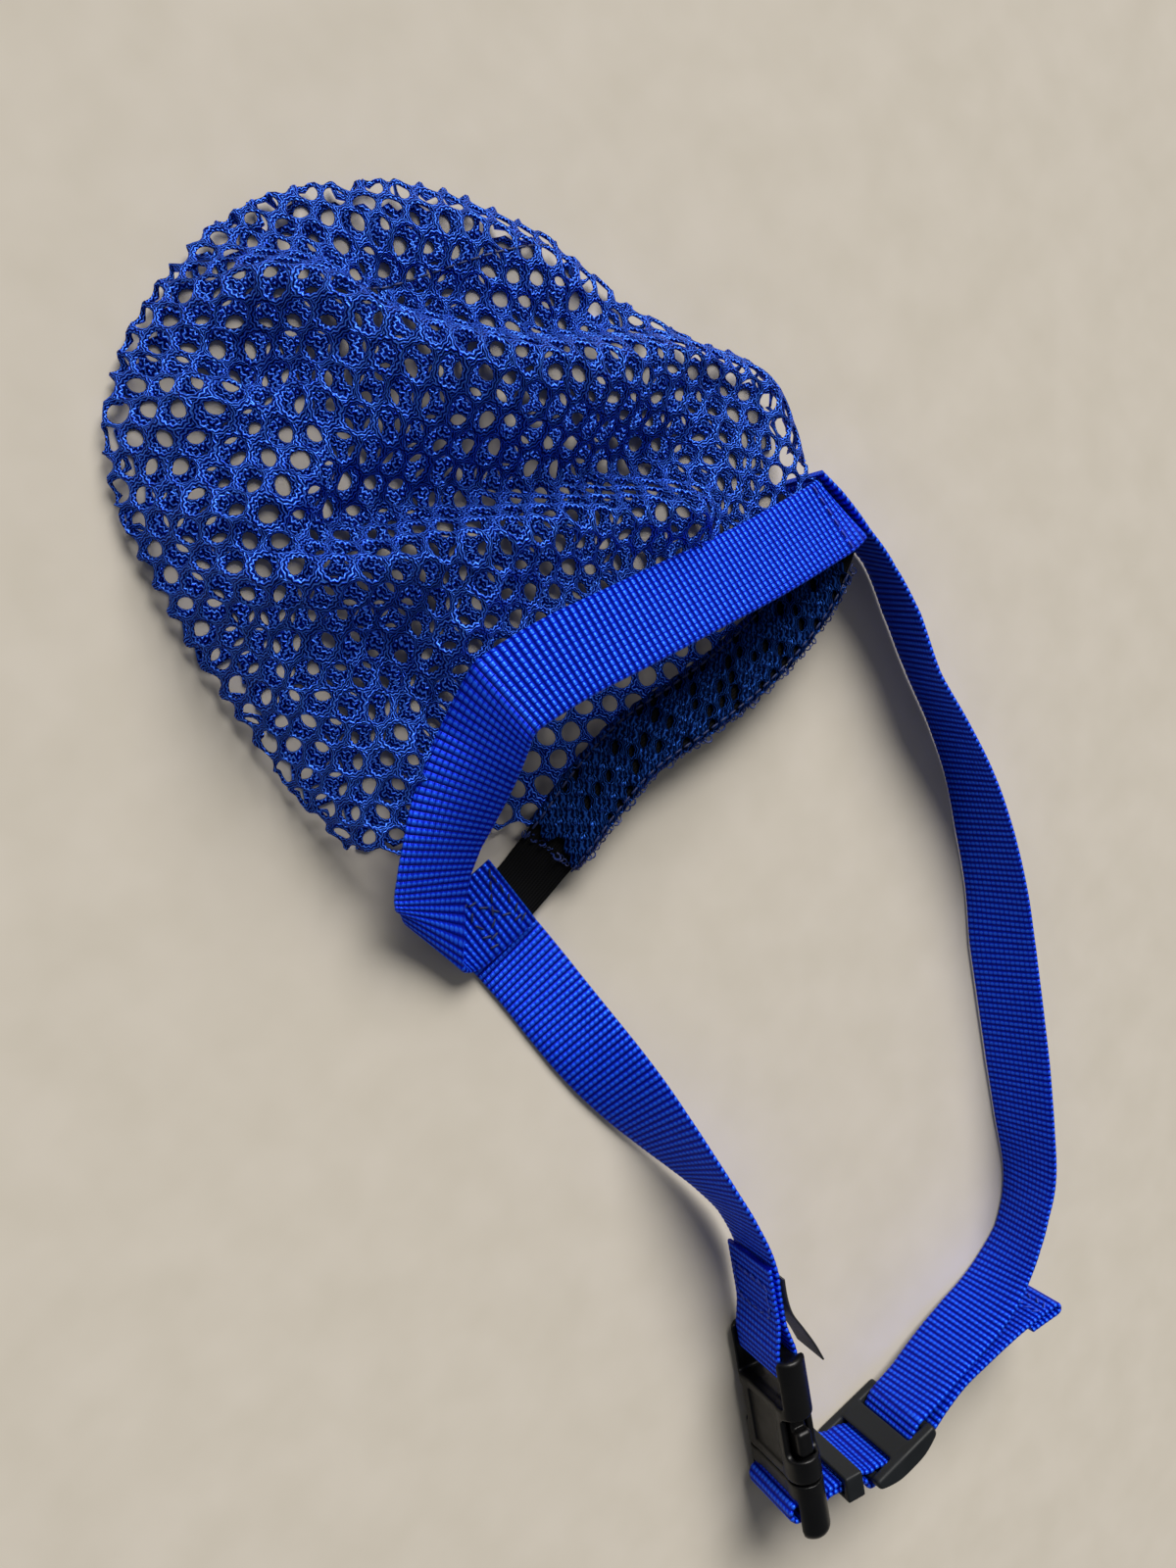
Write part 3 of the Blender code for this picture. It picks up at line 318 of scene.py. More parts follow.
def polyester_knit(name, light, mid, dark):
    """Warp-knitted polyester mesh: bundles of shiny yarns that run round each hole in zigzags, with a painted
    highlight on the yarn crests and nearly navy painted shade between them, over random dye patches. UV is
    the way round the hole and the distance from its edge."""
    zigzag_lean = 0.45
    dye_share = 0.7
    tone = 0.76
    material, tree, shader = start_material(
        name, Roughness=0.36, IOR=1.5, Specular_IOR_Level=0.2, Metallic=0.5, Specular_Tint=srgb("#4f86ff")
    )
    uv = add_node(tree, "ShaderNodeUVMap", uv_map="strand_uv")
    around, inward = add_node(tree, "ShaderNodeSeparateXYZ", {0: uv[0]})[:2]
    where = add_node(tree, "ShaderNodeTexCoord")["Object"]
    wander = add_node(tree, NOISE, {"Vector": where, "Scale": 1 / STRAND_WANDER, "Detail": 2.0})["Fac"]
    drift = add_node(tree, MATH, {0: wander, 1: DRIFT_ROUND, 2: around}, operation="MULTIPLY_ADD")
    zigzag = add_node(tree, MATH, {0: drift[0], 1: KNIT_ZIGZAG}, operation="PINGPONG")
    swayed = add_node(tree, MATH, {0: zigzag[0], 1: zigzag_lean, 2: inward}, operation="MULTIPLY_ADD")
    moved = add_node(tree, MATH, {0: wander, 1: DRIFT_ACROSS, 2: swayed[0]}, operation="MULTIPLY_ADD")
    yarns = wave(tree, moved[0], KNIT_YARN)
    patches = add_node(tree, NOISE, {"Vector": where, "Scale": 1 / STRAND_PATCH, "Detail": 3.0})["Fac"]
    dye_and_sheen = add_node(tree, MATH, {0: patches, 1: dye_share, 2: yarns}, operation="MULTIPLY_ADD")
    toned = add_node(tree, MATH, {0: dye_and_sheen[0], 1: tone}, operation="MULTIPLY")
    # The light stop is the painted highlight on the yarn crests and the dark stop the painted shade between
    # them.
    colour = add_node(tree, RAMP, {0: toned[0]}, ((0.30, dark), (0.66, mid), (0.97, light)))
    finish_material(tree, shader, colour["Color"], yarns, KNIT_DEPTH)
    return material


def woven_elastic():
    """Woven elastic: matt black with fine ribs along its length and faint cross threads."""
    thread_share = 0.3
    material, tree, shader = start_material(
        "woven_black_elastic", Roughness=0.8, IOR=1.45, Specular_IOR_Level=0.12
    )
    uv = add_node(tree, "ShaderNodeUVMap", uv_map="strap_uv")
    along, across = add_node(tree, "ShaderNodeSeparateXYZ", {0: uv[0]})[:2]
    ribs = wave(tree, across, ELASTIC_RIB)
    threads = wave(tree, along, ELASTIC_THREAD)
    height = add_node(tree, MATH, {0: threads, 1: thread_share, 2: ribs}, operation="MULTIPLY_ADD")
    # Colour follows the relief: painted shade in the grooves between ribs and threads.
    colour = add_node(tree, RAMP, {0: height[0]}, ((0.0, "#010101"), (1.0, "#0b0b0c")))
    finish_material(tree, shader, colour["Color"], height[0], ELASTIC_DEPTH, 0.6)
    return material


def moulded_acetal(name, code, roughness, grain):
    """Moulded acetal: black with a satin skin, faint grain and slightly duller rubbed patches."""
    material, tree, shader = start_material(name, IOR=1.48, Specular_IOR_Level=0.28)
    where = add_node(tree, "ShaderNodeTexCoord")["Object"]
    skin = add_node(tree, NOISE, {"Vector": where, "Scale": 1 / MOULD_GRAIN, "Detail": 3.0})["Fac"]
    rubbed = add_node(tree, NOISE, {"Vector": where, "Scale": 1 / RUBBED_PATCH, "Detail": 4.0})["Fac"]
    spread_of_dull = {"Value": rubbed, 1: 0.3, 2: 0.75, 3: roughness - 0.06, 4: roughness + 0.12}
    dull = add_node(tree, "ShaderNodeMapRange", spread_of_dull)
    tree.links.new(dull["Result"], shader.inputs["Roughness"])
    shade = add_node(tree, "ShaderNodeMapRange", {"Value": rubbed, 1: 0.3, 2: 0.8, 3: 0.9, 4: 1.25})["Result"]
    colour = add_node(tree, "ShaderNodeVectorMath", {0: srgb(code)[:3], "Scale": shade}, operation="SCALE")
    finish_material(tree, shader, colour[0], skin, FINE_DEPTH, grain)
    return material


def tag_satin():
    """Thin black satin tape: a tight plain weave, slightly shiny along its fold."""
    material, tree, shader = start_material("black_satin_tape", Roughness=0.55, Sheen_Weight=0.2, IOR=1.5)
    where = add_node(tree, "ShaderNodeTexCoord")["Object"]
    upward = add_node(tree, "ShaderNodeSeparateXYZ", {0: where})["Z"]
    weft = wave(tree, upward, TAG_WEFT)
    # Colour follows the weft relief: painted highlight on the weft crowns, painted shade between them.
    colour = add_node(tree, RAMP, {0: weft}, ((0.0, "#050506"), (1.0, "#17171a")))
    finish_material(tree, shader, colour["Color"], weft, FINE_DEPTH, 0.5)
    return material


def spun_thread(name, light, dark):
    """Spun sewing thread: fine plies wound round it, with painted shade in the grooves between them."""
    material, tree, shader = start_material(name, Roughness=0.55, IOR=1.5)
    where = add_node(tree, "ShaderNodeTexCoord")["Object"]
    plies = add_node(tree, NOISE, {"Vector": where, "Scale": 1 / THREAD_PLY, "Detail": 2.0})["Fac"]
    # Ramp over the same noise as the relief: painted shade in the grooves, painted highlight on the crests.
    colour = add_node(tree, RAMP, {0: plies}, ((0.3, dark), (0.7, light)))
    finish_material(tree, shader, colour["Color"], plies, FINE_DEPTH, 0.6)
    return material


def pale_floor():
    """Plain pale floor: warm off-white and matt, with faint uneven patches."""
    material, tree, shader = start_material("pale_cotton_floor", Roughness=0.9)
    where = add_node(tree, "ShaderNodeTexCoord")["Object"]
    slub = add_node(tree, NOISE, {"Vector": where, "Scale": 1 / FLOOR_SLUB, "Detail": 2.0})["Fac"]
    colour = add_node(tree, RAMP, {0: slub}, ((0.3, "#bfb8ab"), (0.7, "#c4bdb1")))
    tree.links.new(colour["Color"], shader.inputs["Base Color"])
    return material


WEBBING = polyester_webbing()
KNIT = polyester_knit("knitted_polyester_mesh", "#4a86ff", "#0820b0", "#00023c")
# The hem's knit is the pouch knit in darker colours: painted shade over the doubled casing.
SHADED_HEM_KNIT = polyester_knit("shaded_folded_polyester_mesh", "#1d4590", "#04174e", "#01031c")
ELASTIC = woven_elastic()
BUCKLE_ACETAL = moulded_acetal("black_acetal", "#050506", 0.36, 0.10)
SLIDER_ACETAL = moulded_acetal("grey_black_acetal", "#14171a", 0.50, 0.22)
TAG = tag_satin()
BLUE_THREAD = spun_thread("blue_sewing_thread", "#2a52d8", "#0b1f80")
DARK_THREAD = spun_thread("navy_sewing_thread", "#142c6a", "#060f33")
FRAYED_YARN = spun_thread("frayed_polyester_yarn", "#14347c", "#050f3c")


# Curves and strips

def smooth(points, steps):
    """Smooth curve through the points, with so many samples in each interval."""
    ends = [2 * points[0] - points[1]] + list(points) + [2 * points[-1] - points[-2]]
    samples = []
    for before, start, end, after in zip(ends, ends[1:], ends[2:], ends[3:]):
        first = (start - before).length ** 0.5
        span = (end - start).length ** 0.5
        last = (after - end).length ** 0.5
        slope = (end - start) / span
        leave = span * ((start - before) / first - (end - before) / (first + span) + slope)
        arrive = span * (slope - (after - start) / (span + last) + (after - end) / last)
        for k in range(steps):
            t = k / steps
            curve = start * (2 * t ** 3 - 3 * t ** 2 + 1) + leave * (t ** 3 - 2 * t ** 2 + t)
            samples.append(curve + end * (3 * t ** 2 - 2 * t ** 3) + arrive * (t ** 3 - t ** 2))
    samples.append(points[-1].copy())
    return samples


def spread(hints, steps):
    """Directions between the given ones, matched to the samples of a smooth curve."""
    samples = []
    for start, end in zip(hints, hints[1:]):
        samples += [start.lerp(end, k / steps) for k in range(steps)]
    samples.append(hints[-1].copy())
    return samples


def strip_frames(centres, hints, holds=None):
    """Centre, across and outward directions along a strap; a held section may run askew at a fold."""
    strip = []
    last = len(centres) - 1
    for i, centre in enumerate(centres):
        along = (centres[min(i + 1, last)] - centres[max(i - 1, 0)]).normalized()
        square = (hints[i] - along * along.dot(hints[i])).normalized()
        hold = holds[i] if holds else 0.0
        strip.append((centre, square.lerp(hints[i].normalized(), hold), along.cross(square)))
    return strip


def strip_lengths(strip):
    lengths = [0.0]
    for before, after in zip(strip, strip[1:]):
        lengths.append(lengths[-1] + (after[0] - before[0]).length)
    return lengths


def strip_at(strip, lengths, distance):
    """The strip's centre, across and outward directions at a distance along it."""
    for i in range(len(strip) - 1):
        if lengths[i + 1] >= distance:
            break
    share = (distance - lengths[i]) / (lengths[i + 1] - lengths[i])
    return tuple(a.lerp(b, share) for a, b in zip(strip[i], strip[i + 1]))


def pick(strip, start, end, count):
    """So many evenly spaced stations between two distances along the strip."""
    lengths = strip_lengths(strip)
    step = (end - start) / (count - 1)
    return [strip_at(strip, lengths, start + step * i) for i in range(count)]


def arc(centre, first, second, radius, start, end, count):
    """Points of a turn in the plane of two directions, from one angle to another, in degrees."""
    points = []
    for i in range(count):
        angle = math.radians(start + (end - start) * i / (count - 1))
        points.append(centre + radius * (math.cos(angle) * first + math.sin(angle) * second))
    return points


def along_line(points, count):
    """So many evenly spaced points along a line of points."""
    strip = [(point, UP, UP) for point in points]
    return [station[0] for station in pick(strip, 0.0, strip_lengths(strip)[-1], count)]


# Making objects

def link_object(name, data):
    made = bpy.data.objects.new(name, data)
    bpy.context.scene.collection.objects.link(made)
    return made


def add_object(name, mesh, material):
    mesh.materials.clear()
    mesh.materials.append(material)
    return link_object(name, mesh)


def ring_faces(rings, sides):
    """Faces between neighbouring rings of points."""
    faces = []
    for r in range(rings - 1):
        for k in range(sides):
            j = (k + 1) % sides
            faces.append((r * sides + k, r * sides + j, (r + 1) * sides + j, (r + 1) * sides + k))
    return faces


def mesh_object(name, points, faces, material, uv=None, uv_name="strap_uv", keep_faces=False):
    """Smooth-shaded mesh from points and faces, with a UV pair for each corner if given; unless its faces are
    kept as they are, they are turned outwards and sharp corners stay crisp."""
    mesh = bpy.data.meshes.new(name)
    mesh.from_pydata([tuple(point) for point in points], [], faces)
    if uv is not None:
        layer = mesh.uv_layers.new(name=uv_name)
        layer.data.foreach_set("uv", np.array(uv, np.float32).ravel())
    if not keep_faces:
        shape = bmesh.new()
        shape.from_mesh(mesh)
        bmesh.ops.recalc_face_normals(shape, faces=shape.faces)
        shape.to_mesh(mesh)
        shape.free()
    mesh.shade_smooth()
    if not keep_faces:
        mesh.set_sharp_from_angle(angle=CREASE_ANGLE)
    return add_object(name, mesh, material)


def strap_mesh(name, strip, width, thickness, material, start=0.0, ribs=RIB_DEPTH):
    """Strap with rounded selvedges, ribs across it and UV along and across in metres."""
    half = width / 2
    round_off = thickness / 2
    shoulder = half - round_off * SELVEDGE_IN
    flat = [half - round_off] + [half * share for share in (0.6, 0.2, -0.2, -0.6)] + [round_off - half]
    face = [(shoulder, SELVEDGE_LEVEL)] + [(across, 1.0) for across in flat] + [(-shoulder, SELVEDGE_LEVEL)]
    ring = [(half, 0.0)] + face + [(-half, 0.0)] + [(side, -level) for side, level in reversed(face)]
    count = len(ring)
    lengths = strip_lengths(strip)
    points = []
    for (centre, across, out), length in zip(strip, lengths):
        dip = ribs * (0.5 - 0.5 * math.cos(2 * math.pi * (start + length) / RIB_PITCH))
        for side, level in ring:
            points.append(centre + across * side + out * level * round_off * (1 - dip))
    faces = ring_faces(len(strip), count)
    uv = []
    for before, after in zip(lengths, lengths[1:]):
        u0 = start + before
        u1 = start + after
        for (v0, level), (v1, level) in zip(ring, ring[1:] + ring[:1]):
            uv += [(u0, v0), (u0, v1), (u1, v1), (u1, v0)]
    for k, order in ((0, 1), (len(strip) - 1, -1)):
        faces.append(tuple(k * count + i for i in range(count))[::order])
        cap = [(start + lengths[k] + CAP_SPREAD * math.sin(i), ring[i][0]) for i in range(count)]
        uv += cap[::order]
    return mesh_object(name, points, faces, material, uv)


def webbing_strap(name, strip, start=0.0):
    return strap_mesh(name, finer(strip), WEBBING_WIDTH, WEBBING_THICKNESS, WEBBING, start)


def finer(strip, step=RIB_PITCH / 5):
    """The same strip with evenly spaced stations."""
    total = strip_lengths(strip)[-1]
    return pick(strip, 0.0, total, max(3, round(total / step) + 1))


# Routes of the webbing and the elastic

RISE_STATIONS = 6
WEAVE_STEPS = 8
ROOT_STATION = 8
END_STATION = 21
TAG_ROUTE = ((-0.021, 0.0), (-0.016, 0.0), (-0.011, 0.0008), (-0.006, 0.0032), (0.0, 0.0060), (0.005, 0.0078))
TAG_RAISE = 0.0010
TAG_STEP = 0.0008


def nose_band_strip(steps):
    """Turned-back left end, left leg, arch over the mouth and folded right end."""
    flap = FLAP_LEVEL / MM
    stations = (
        ((-33.0, -1.9, flap), (-0.17, -0.98, 0.0), 0.0),
        ((-42.0, -0.8, flap), (-0.17, -0.98, 0.0), 0.0),
        ((-49.5, 0.4, flap), (-0.10, -0.99, 0.0), 1.0),
        ((-53.6, 2.2, flap + 0.9), (-0.02, -1.0, 0.0), 1.0),
        ((-55.4, 4.8, flap + 3.4), (0.06, -0.99, -0.08), 1.0),
        ((-53.6, 8.8, flap + 5.8), (0.22, -0.95, -0.20), 1.0),
        ((-50.0, 13.4, flap + 7.0), (0.46, -0.80, -0.32), 0.6),
        ((-45.0, 18.0, 13.2), (0.58, -0.74, -0.30), 0.0),
        ((-38.5, 22.8, 16.2), (0.54, -0.80, -0.20), 0.0),
        ((-29.5, 28.8, 21.2), (0.36, -0.90, 0.10), 0.0),
        ((-19.5, 34.8, 27.4), (0.12, -0.92, 0.36), 0.3),
        ((-11.6, 39.5, 32.9), (-0.10, -0.92, 0.38), 1.0),
        ((-9.6, 40.3, 34.1), (-0.12, -0.92, 0.37), 1.0),
        ((-7.2, 40.1, 34.7), (-0.14, -0.92, 0.36), 1.0),
        ((6.0, 36.6, 35.0), (-0.26, -0.90, 0.32), 0.2),
        ((22.0, 30.6, 34.0), (-0.26, -0.90, 0.32), 0.0),
        ((41.0, 23.2, 31.0), (-0.25, -0.90, 0.32), 0.0),
        ((62.0, 15.0, 27.0), (-0.20, -0.92, 0.30), 0.0),
        ((80.0, 8.8, 23.2), (-0.12, -0.95, 0.24), 0.0),
        ((88.0, 6.2, 21.4), (-0.02, -0.98, 0.16), 0.0),
        ((91.6, 5.4, 19.8), (0.06, -0.99, 0.08), 0.0),
        ((93.0, 5.0, 16.5), (0.09, -0.99, 0.02), 0.0),
        ((93.3, 5.0, 11.0), (0.09, -0.99, 0.0), 0.0),
        ((93.3, 5.0, 5.0), (0.09, -0.99, 0.0), 0.0),
    )
    centres = smooth([place(*point) for point, hint, hold in stations], steps)
    hints = spread([Vector(hint) for point, hint, hold in stations], steps)
    holds = spread([Vector((hold, 0.0)) for point, hint, hold in stations], steps)
    return strip_frames(centres, hints, [hold.x for hold in holds])


def hem_strip(steps):
    """Elastic's route: bare from under the left flap, then through the casing to the right fold."""
    bare = ELASTIC_LEVEL / MM
    stations = [
        ((-45.0, -3.0, bare), (0.0, -1.0, 0.0)),
        ((-37.0, -3.2, bare), (0.0, -1.0, 0.0)),
        ((-29.0, -3.2, bare), (0.0, -1.0, 0.0)),
        ((-22.5, -2.2, bare + 1.8), (0.08, -0.99, 0.05)),
        ((-16.0, -1.0, bare + 4.4), (0.05, -0.99, 0.12)),
        ((-2.0, 0.6, 8.0), (-0.05, -0.97, 0.22)),
        ((13.0, 0.6, 8.8), (-0.20, -0.95, 0.25)),
        ((29.0, -3.2, 9.0), (-0.25, -0.93, 0.25)),
        ((46.0, -6.6, 9.2), (-0.15, -0.95, 0.25)),
        ((63.0, -7.4, 10.2), (0.05, -0.96, 0.25)),
        ((78.0, -5.2, 11.4), (0.15, -0.96, 0.20)),
        ((86.0, -2.6, 12.0), (0.20, -0.97, 0.12)),
        ((91.4, -0.6, 12.2), (0.15, -0.98, 0.05)),
    ]
    centres = smooth([place(*point) for point, hint in stations], steps)
    hints = spread([Vector(hint) for point, hint in stations], steps)
    return strip_frames(centres, hints)


def left_strap_strip(steps):
    """Flat from under the left flap, twisting onto its edge, then round the socket's bar and back."""
    tops = (
        (-43.0, 3.0, 0.0), (-43.4, -10.0, 0.0), (-44.6, -23.0, 0.0), (-46.0, -33.0, 4.0),
        (-47.4, -43.0, 12.0), (-48.6, -53.0, 23.0), (-49.6, -63.0, 37.0), (-50.6, -73.0, 52.0),
        (-51.6, -84.0, 66.0), (-52.6, -95.0, 78.0), (-54.2, -106.0, 87.0),
    )
    points = []
    hints = []
    for x, y, tilt in tops:
        turn = math.radians(tilt)
        edge = math.sin(turn) * WEBBING_WIDTH / 2
        share = tilt / 90.0
        level = STRAP_LEVEL * (1 - share) + (NECK_HEIGHT - WEBBING_WIDTH / 2) * share ** 3
        lowest = STRAP_LEVEL * math.cos(turn) + FLOOR_GAP * share
        points.append(lift(place(x, y), max(level, lowest) + edge))
        hints.append(Vector((math.cos(turn), 0.0, math.sin(turn))))
    turn_place = SOCKET_BAR_LENGTH - FIT_GAP
    run_in = (
        (-0.024, HALF_LAYER), (-0.016, HALF_LAYER), (-0.008, HALF_LAYER * 1.1),
        (-0.004, BAR_TURN * 0.7), (-0.0005, BAR_TURN), (turn_place / 2, BAR_TURN),
    )
    main = [on_buckle(a, b) for a, b in run_in]
    across = BUCKLE_FRAME.to_3x3() @ Vector((0.0, 0.0, 1.0))
    round_bar = arc(on_buckle(turn_place, 0.0), across, BUCKLE_ALONG, BAR_TURN, 0.0, 180.0, 7)
    back = [on_buckle(a, -b) for a, b in reversed(run_in[1:])]
    back.append(on_buckle(-0.0245, -HALF_LAYER))
    loop = main + round_bar + back
    points += loop
    hints += [UP] * len(loop)
    return strip_frames(smooth(points, steps), spread(hints, steps))


def right_strap_run():
    """Loop of the right strap on its edge, leaning in and out, from the right fold to the slider."""
    stations = (
        ((93.8, 16.0), (0.0, 0.0)), ((95.4, 8.0), (-0.06, 0.04)), ((97.2, -4.0), (-0.24, 0.12)),
        ((97.6, -17.0), (-0.30, 0.14)), ((94.0, -31.5), (-0.18, 0.13)), ((88.6, -47.5), (-0.24, 0.05)),
        ((85.0, -64.5), (-0.13, 0.04)), ((80.2, -81.0), (0.0, 0.0)), ((73.0, -96.6), (0.15, -0.09)),
        ((64.6, -112.0), (0.22, -0.16)), ((55.0, -126.2), (0.34, -0.25)), ((45.2, -140.8), (0.34, -0.21)),
        ((35.0, -155.8), (0.29, -0.21)), ((24.6, -170.3), (0.22, -0.08)), ((14.5, -183.8), (0.10, 0.05)),
        ((6.8, -190.0), (0.05, 0.14)), ((-1.5, -194.4), (0.0, 0.12)), ((-10.5, -196.6), (0.0, 0.0)),
        ((-19.5, -196.8), (0.0, -0.10)), ((-29.0, -195.4), (0.0, -0.18)), ((-38.5, -193.2), (0.0, -0.14)),
        ((-47.0, -191.4), (0.0, -0.07)), ((-53.5, -190.2), (0.0, -0.03)),
    )
    points = []
    hints = []
    for i, ((x, y), (lean_x, lean_y)) in enumerate(stations):
        hint = Vector((lean_x, lean_y, 1.0)).normalized()
        slope = math.sqrt(1 - hint.z ** 2)
        low = FLOOR_GAP + hint.z * WEBBING_WIDTH / 2 + slope * WEBBING_THICKNESS / 2
        lifted = max(0.0, (i - len(stations) + RISE_STATIONS) / RISE_STATIONS)
        points.append(lift(place(x, y), low + (NECK_HEIGHT - STRAP_HEIGHT) * lifted))
        hints.append(hint)
    return points, hints


def right_strap_loop():
    """Through slider and keeper, round the plug's bar and back through the keeper."""
    points = []
    for i in range(-WEAVE_STEPS, WEAVE_STEPS + 1):
        along = SLIDER_PITCH * i / WEAVE_STEPS
        points.append(on_slider(along, WEAVE * math.cos(math.pi * along / SLIDER_PITCH)))
    near = KEEPER_SPACING - KEEPER_LENGTH / 2
    far = KEEPER_SPACING + KEEPER_LENGTH / 2
    stops = (far, KEEPER_SPACING, near, near - KEEPER_TRAVEL)
    points += [on_buckle(KEEPER_PLACE - HALF_LAYER, stop) for stop in stops]
    turn_level = FIT_GAP - BAR_THICKNESS / 2 - PLUG_LOOP_SLACK
    across = BUCKLE_FRAME.to_3x3() @ Vector((0.0, 0.0, -1.0))
    points.append(on_buckle(PLUG_BAR - PLUG_TURN, PLUG_LOOP_IN))
    points += arc(on_buckle(PLUG_BAR, turn_level), -BUCKLE_ALONG, across, PLUG_TURN, 0.0, 180.0, 7)
    points.append(on_buckle(PLUG_BAR + PLUG_TURN, PLUG_LOOP_OUT))
    points += [on_buckle(KEEPER_PLACE + HALF_LAYER, stop) for stop in reversed(stops)]
    return points


def slack_ends():
    """Where the doubled webbing between keeper and slider starts and ends."""
    keeper_face = on_buckle(KEEPER_PLACE, KEEPER_SPACING + KEEPER_LENGTH / 2)
    return keeper_face, on_slider(SLIDER_LENGTH / 2, 0.0)


def tail_points():
    """Free end of the right strap: behind the slider, then out to its turned-over tip."""
    behind = WEAVE + LAYER_STEP
    end = SLIDER_LENGTH / 2
    edge = SLIDER_BAR_THICKNESS / 2
    clear = WEBBING_THICKNESS / 2 + STRAP_GAP
    round_slider = (
        (end + clear * 1.1, -edge / 4), (end + clear * 1.05, edge), (end + clear * 0.75, edge + clear * 0.75),
        (end - clear / 2, edge + clear * 1.1), (SLIDER_PITCH / 2, behind * 0.95), (0.0, behind * 1.03),
        (-SLIDER_PITCH, behind),
    )
    points = [on_slider(along, across) for along, across in round_slider]
    run = (
        (-54.0, -193.8), (-46.0, -195.0), (-37.0, -198.0), (-26.0, -202.0), (-16.5, -206.2), (-10.5, -209.2),
    )
    level_from = len(run) - 2
    heights = [NECK_HEIGHT - TAIL_DROP * min(i, level_from) for i in range(len(run))]
    tail = [lift(place(*point), height) for point, height in zip(run, heights)]
    along = (tail[-1] - tail[-2]).normalized()
    out = along.cross(UP)
    tail.insert(-1, tail[-1] - along * TAIL_LEAD)
    turn = arc(tail[-1] + out * TAIL_TURN, -out, along, TAIL_TURN, 0.0, 180.0, 5)
    returned = [turn[-1] - along * reach for reach in (TAIL_LEAD, TAIL_RETURN)]
    return points + tail + turn[1:] + returned, tail


# Pouch surface

RIM_FIRST_STATION = 7.5
RIM_LAST_STATION = 19.0
SURFACE_STEPS = 8
SURFACE_ROWS = 48
FIELD_STEP = 0.001
FIELD_LOW = (-0.085, -0.005)
FIELD_SIZE = (220, 215)
EDGE_TURN = 0.0008
LOWER_COLUMNS = 80
LOWER_ROWS = 24
LOWER_FALL = 2.5
LOWER_CRUMPLE = 0.0055
CRUMPLE_RATE = 38
CRUMPLE_SLICE = 1.3
CRUMPLE_FLAT = 0.3
CRUMPLE_EDGE = 0.030
CRUMPLE_MOUTH = 0.020
MOUTH_STRETCH = 0.030
RAY_HEIGHT = 0.2
FILL_SWEEPS = 90
SWAY = 0.0011
SWAY_RATE = 120.0
SWAY_SLICE = 5.3
SWAY_SEED = 3
# Folds of the upper panel: line in millimetres from the mouth, height, and reach to its left and right.
# A fold that stands is positive and one that sinks is negative.
FOLDS = (
    (
        ((15, 135), (24, 121), (29, 107), (35, 97), (44, 87), (53, 81), (66, 74), (86, 60), (99, 46)),
        18.2, 6.0, 14.0,
    ),
    (((40, 117), (48, 107), (55, 96), (66, 85), (82, 74)), -13.0, 8.0, 9.0),
    (((17, 136), (11, 127), (7, 120)), 7.8, 4.0, 5.0),
    (((-24, 129), (-8, 124), (3, 113), (12, 108)), 10.4, 5.0, 6.0),
    (((8, 126), (3, 119)), -11.7, 7.0, 7.0),
    (((-36, 100), (-22, 86), (-7, 76), (6, 70), (18, 63), (28, 57), (42, 48), (55, 36)), 14.3, 5.0, 7.0),
    (((-4, 88), (15, 79), (28, 71), (40, 62), (60, 51)), -16.9, 8.0, 9.0),
    (((7, 61), (-6, 57), (-17, 54), (-26, 48), (-34, 40)), 9.1, 5.0, 4.0),
    (((-14, 70), (-18, 60), (-22, 50)), -11.7, 6.0, 6.0),
    (((58, 128), (70, 112), (80, 95)), 6.5, 4.0, 6.0),
    (((-40, 70), (-34, 88), (-30, 104)), 6.5, 6.0, 6.0),
    (((-30, 112), (-20, 102), (-6, 98)), 9.1, 6.0, 6.0),
    (((-2, 100), (12, 96), (24, 88)), 6.5, 4.0, 5.0),
    (((66, 64), (80, 52), (90, 40)), -6.5, 5.0, 5.0),
)
FOLD_SHARPNESS = 1.7
FOLD_EASE = 0.014
FOLD_ROUNDING = 9
# Small crumples of the slack cloth: height, turns to the metre and the slice of noise they are read from.
CRUMPLES = ((0.0016, 55, 3.7), (0.0008, 130, 9.1))


def pouch_outline():
    """Edge of the pouch as it lies, from beside the left leg round to the right fold."""
    points = [
        (-53.0, 35.5), (-52.0, 52.0), (-49.0, 69.0), (-42.5, 97.0), (-31.0, 125.0), (-16.5, 138.5),
        (8.5, 147.0), (26.0, 147.5), (42.0, 143.5), (66.5, 127.0), (76.0, 114.0), (83.5, 99.0),
        (90.0, 76.0), (97.5, 59.0), (106.5, 45.0), (106.0, 32.0), (99.0, 22.0),
    ]
    return [lift(point, SEAM_HEIGHT) for point in smooth([place(*point) for point in points], 4)]


def upper_surface(band):
    """Rows of points from under the nose band to the pouch's edge, without the cloth's folds."""
    under = WEBBING_THICKNESS / 2 + 1.5 * FIT_GAP
    first = round(RIM_FIRST_STATION * SURFACE_STEPS)
    last = round(RIM_LAST_STATION * SURFACE_STEPS)
    rim = band[first:last + 1]
    edge = along_line(pouch_outline(), len(rim))
    half = WEBBING_WIDTH / 2
    start_row = [c - a * (half + BAND_RUN_OUT) + o * (under + FIT_GAP) for c, a, o in rim]
    grid = [[c + o * under for c, a, o in rim]]
    grid.append([c - a * (half - BAND_OVERLAP) + o * under for c, a, o in rim])
    for row in range(SURFACE_ROWS + 1):
        share = row / SURFACE_ROWS
        line = []
        for start, end in zip(start_row, edge):
            point = start.lerp(end, share)
            slack = min(1.0, (end - start).length / SLACK_SPAN)
            rise = 4 * share * (1 - share) * slack
            drop = (start.z - end.z) * (share ** 1.5 - share)
            point.z += rise * POUCH_CROWN - drop + (PANEL_THICKNESS + FIT_GAP) * share
            line.append(point)
        grid.append(line)
    return grid


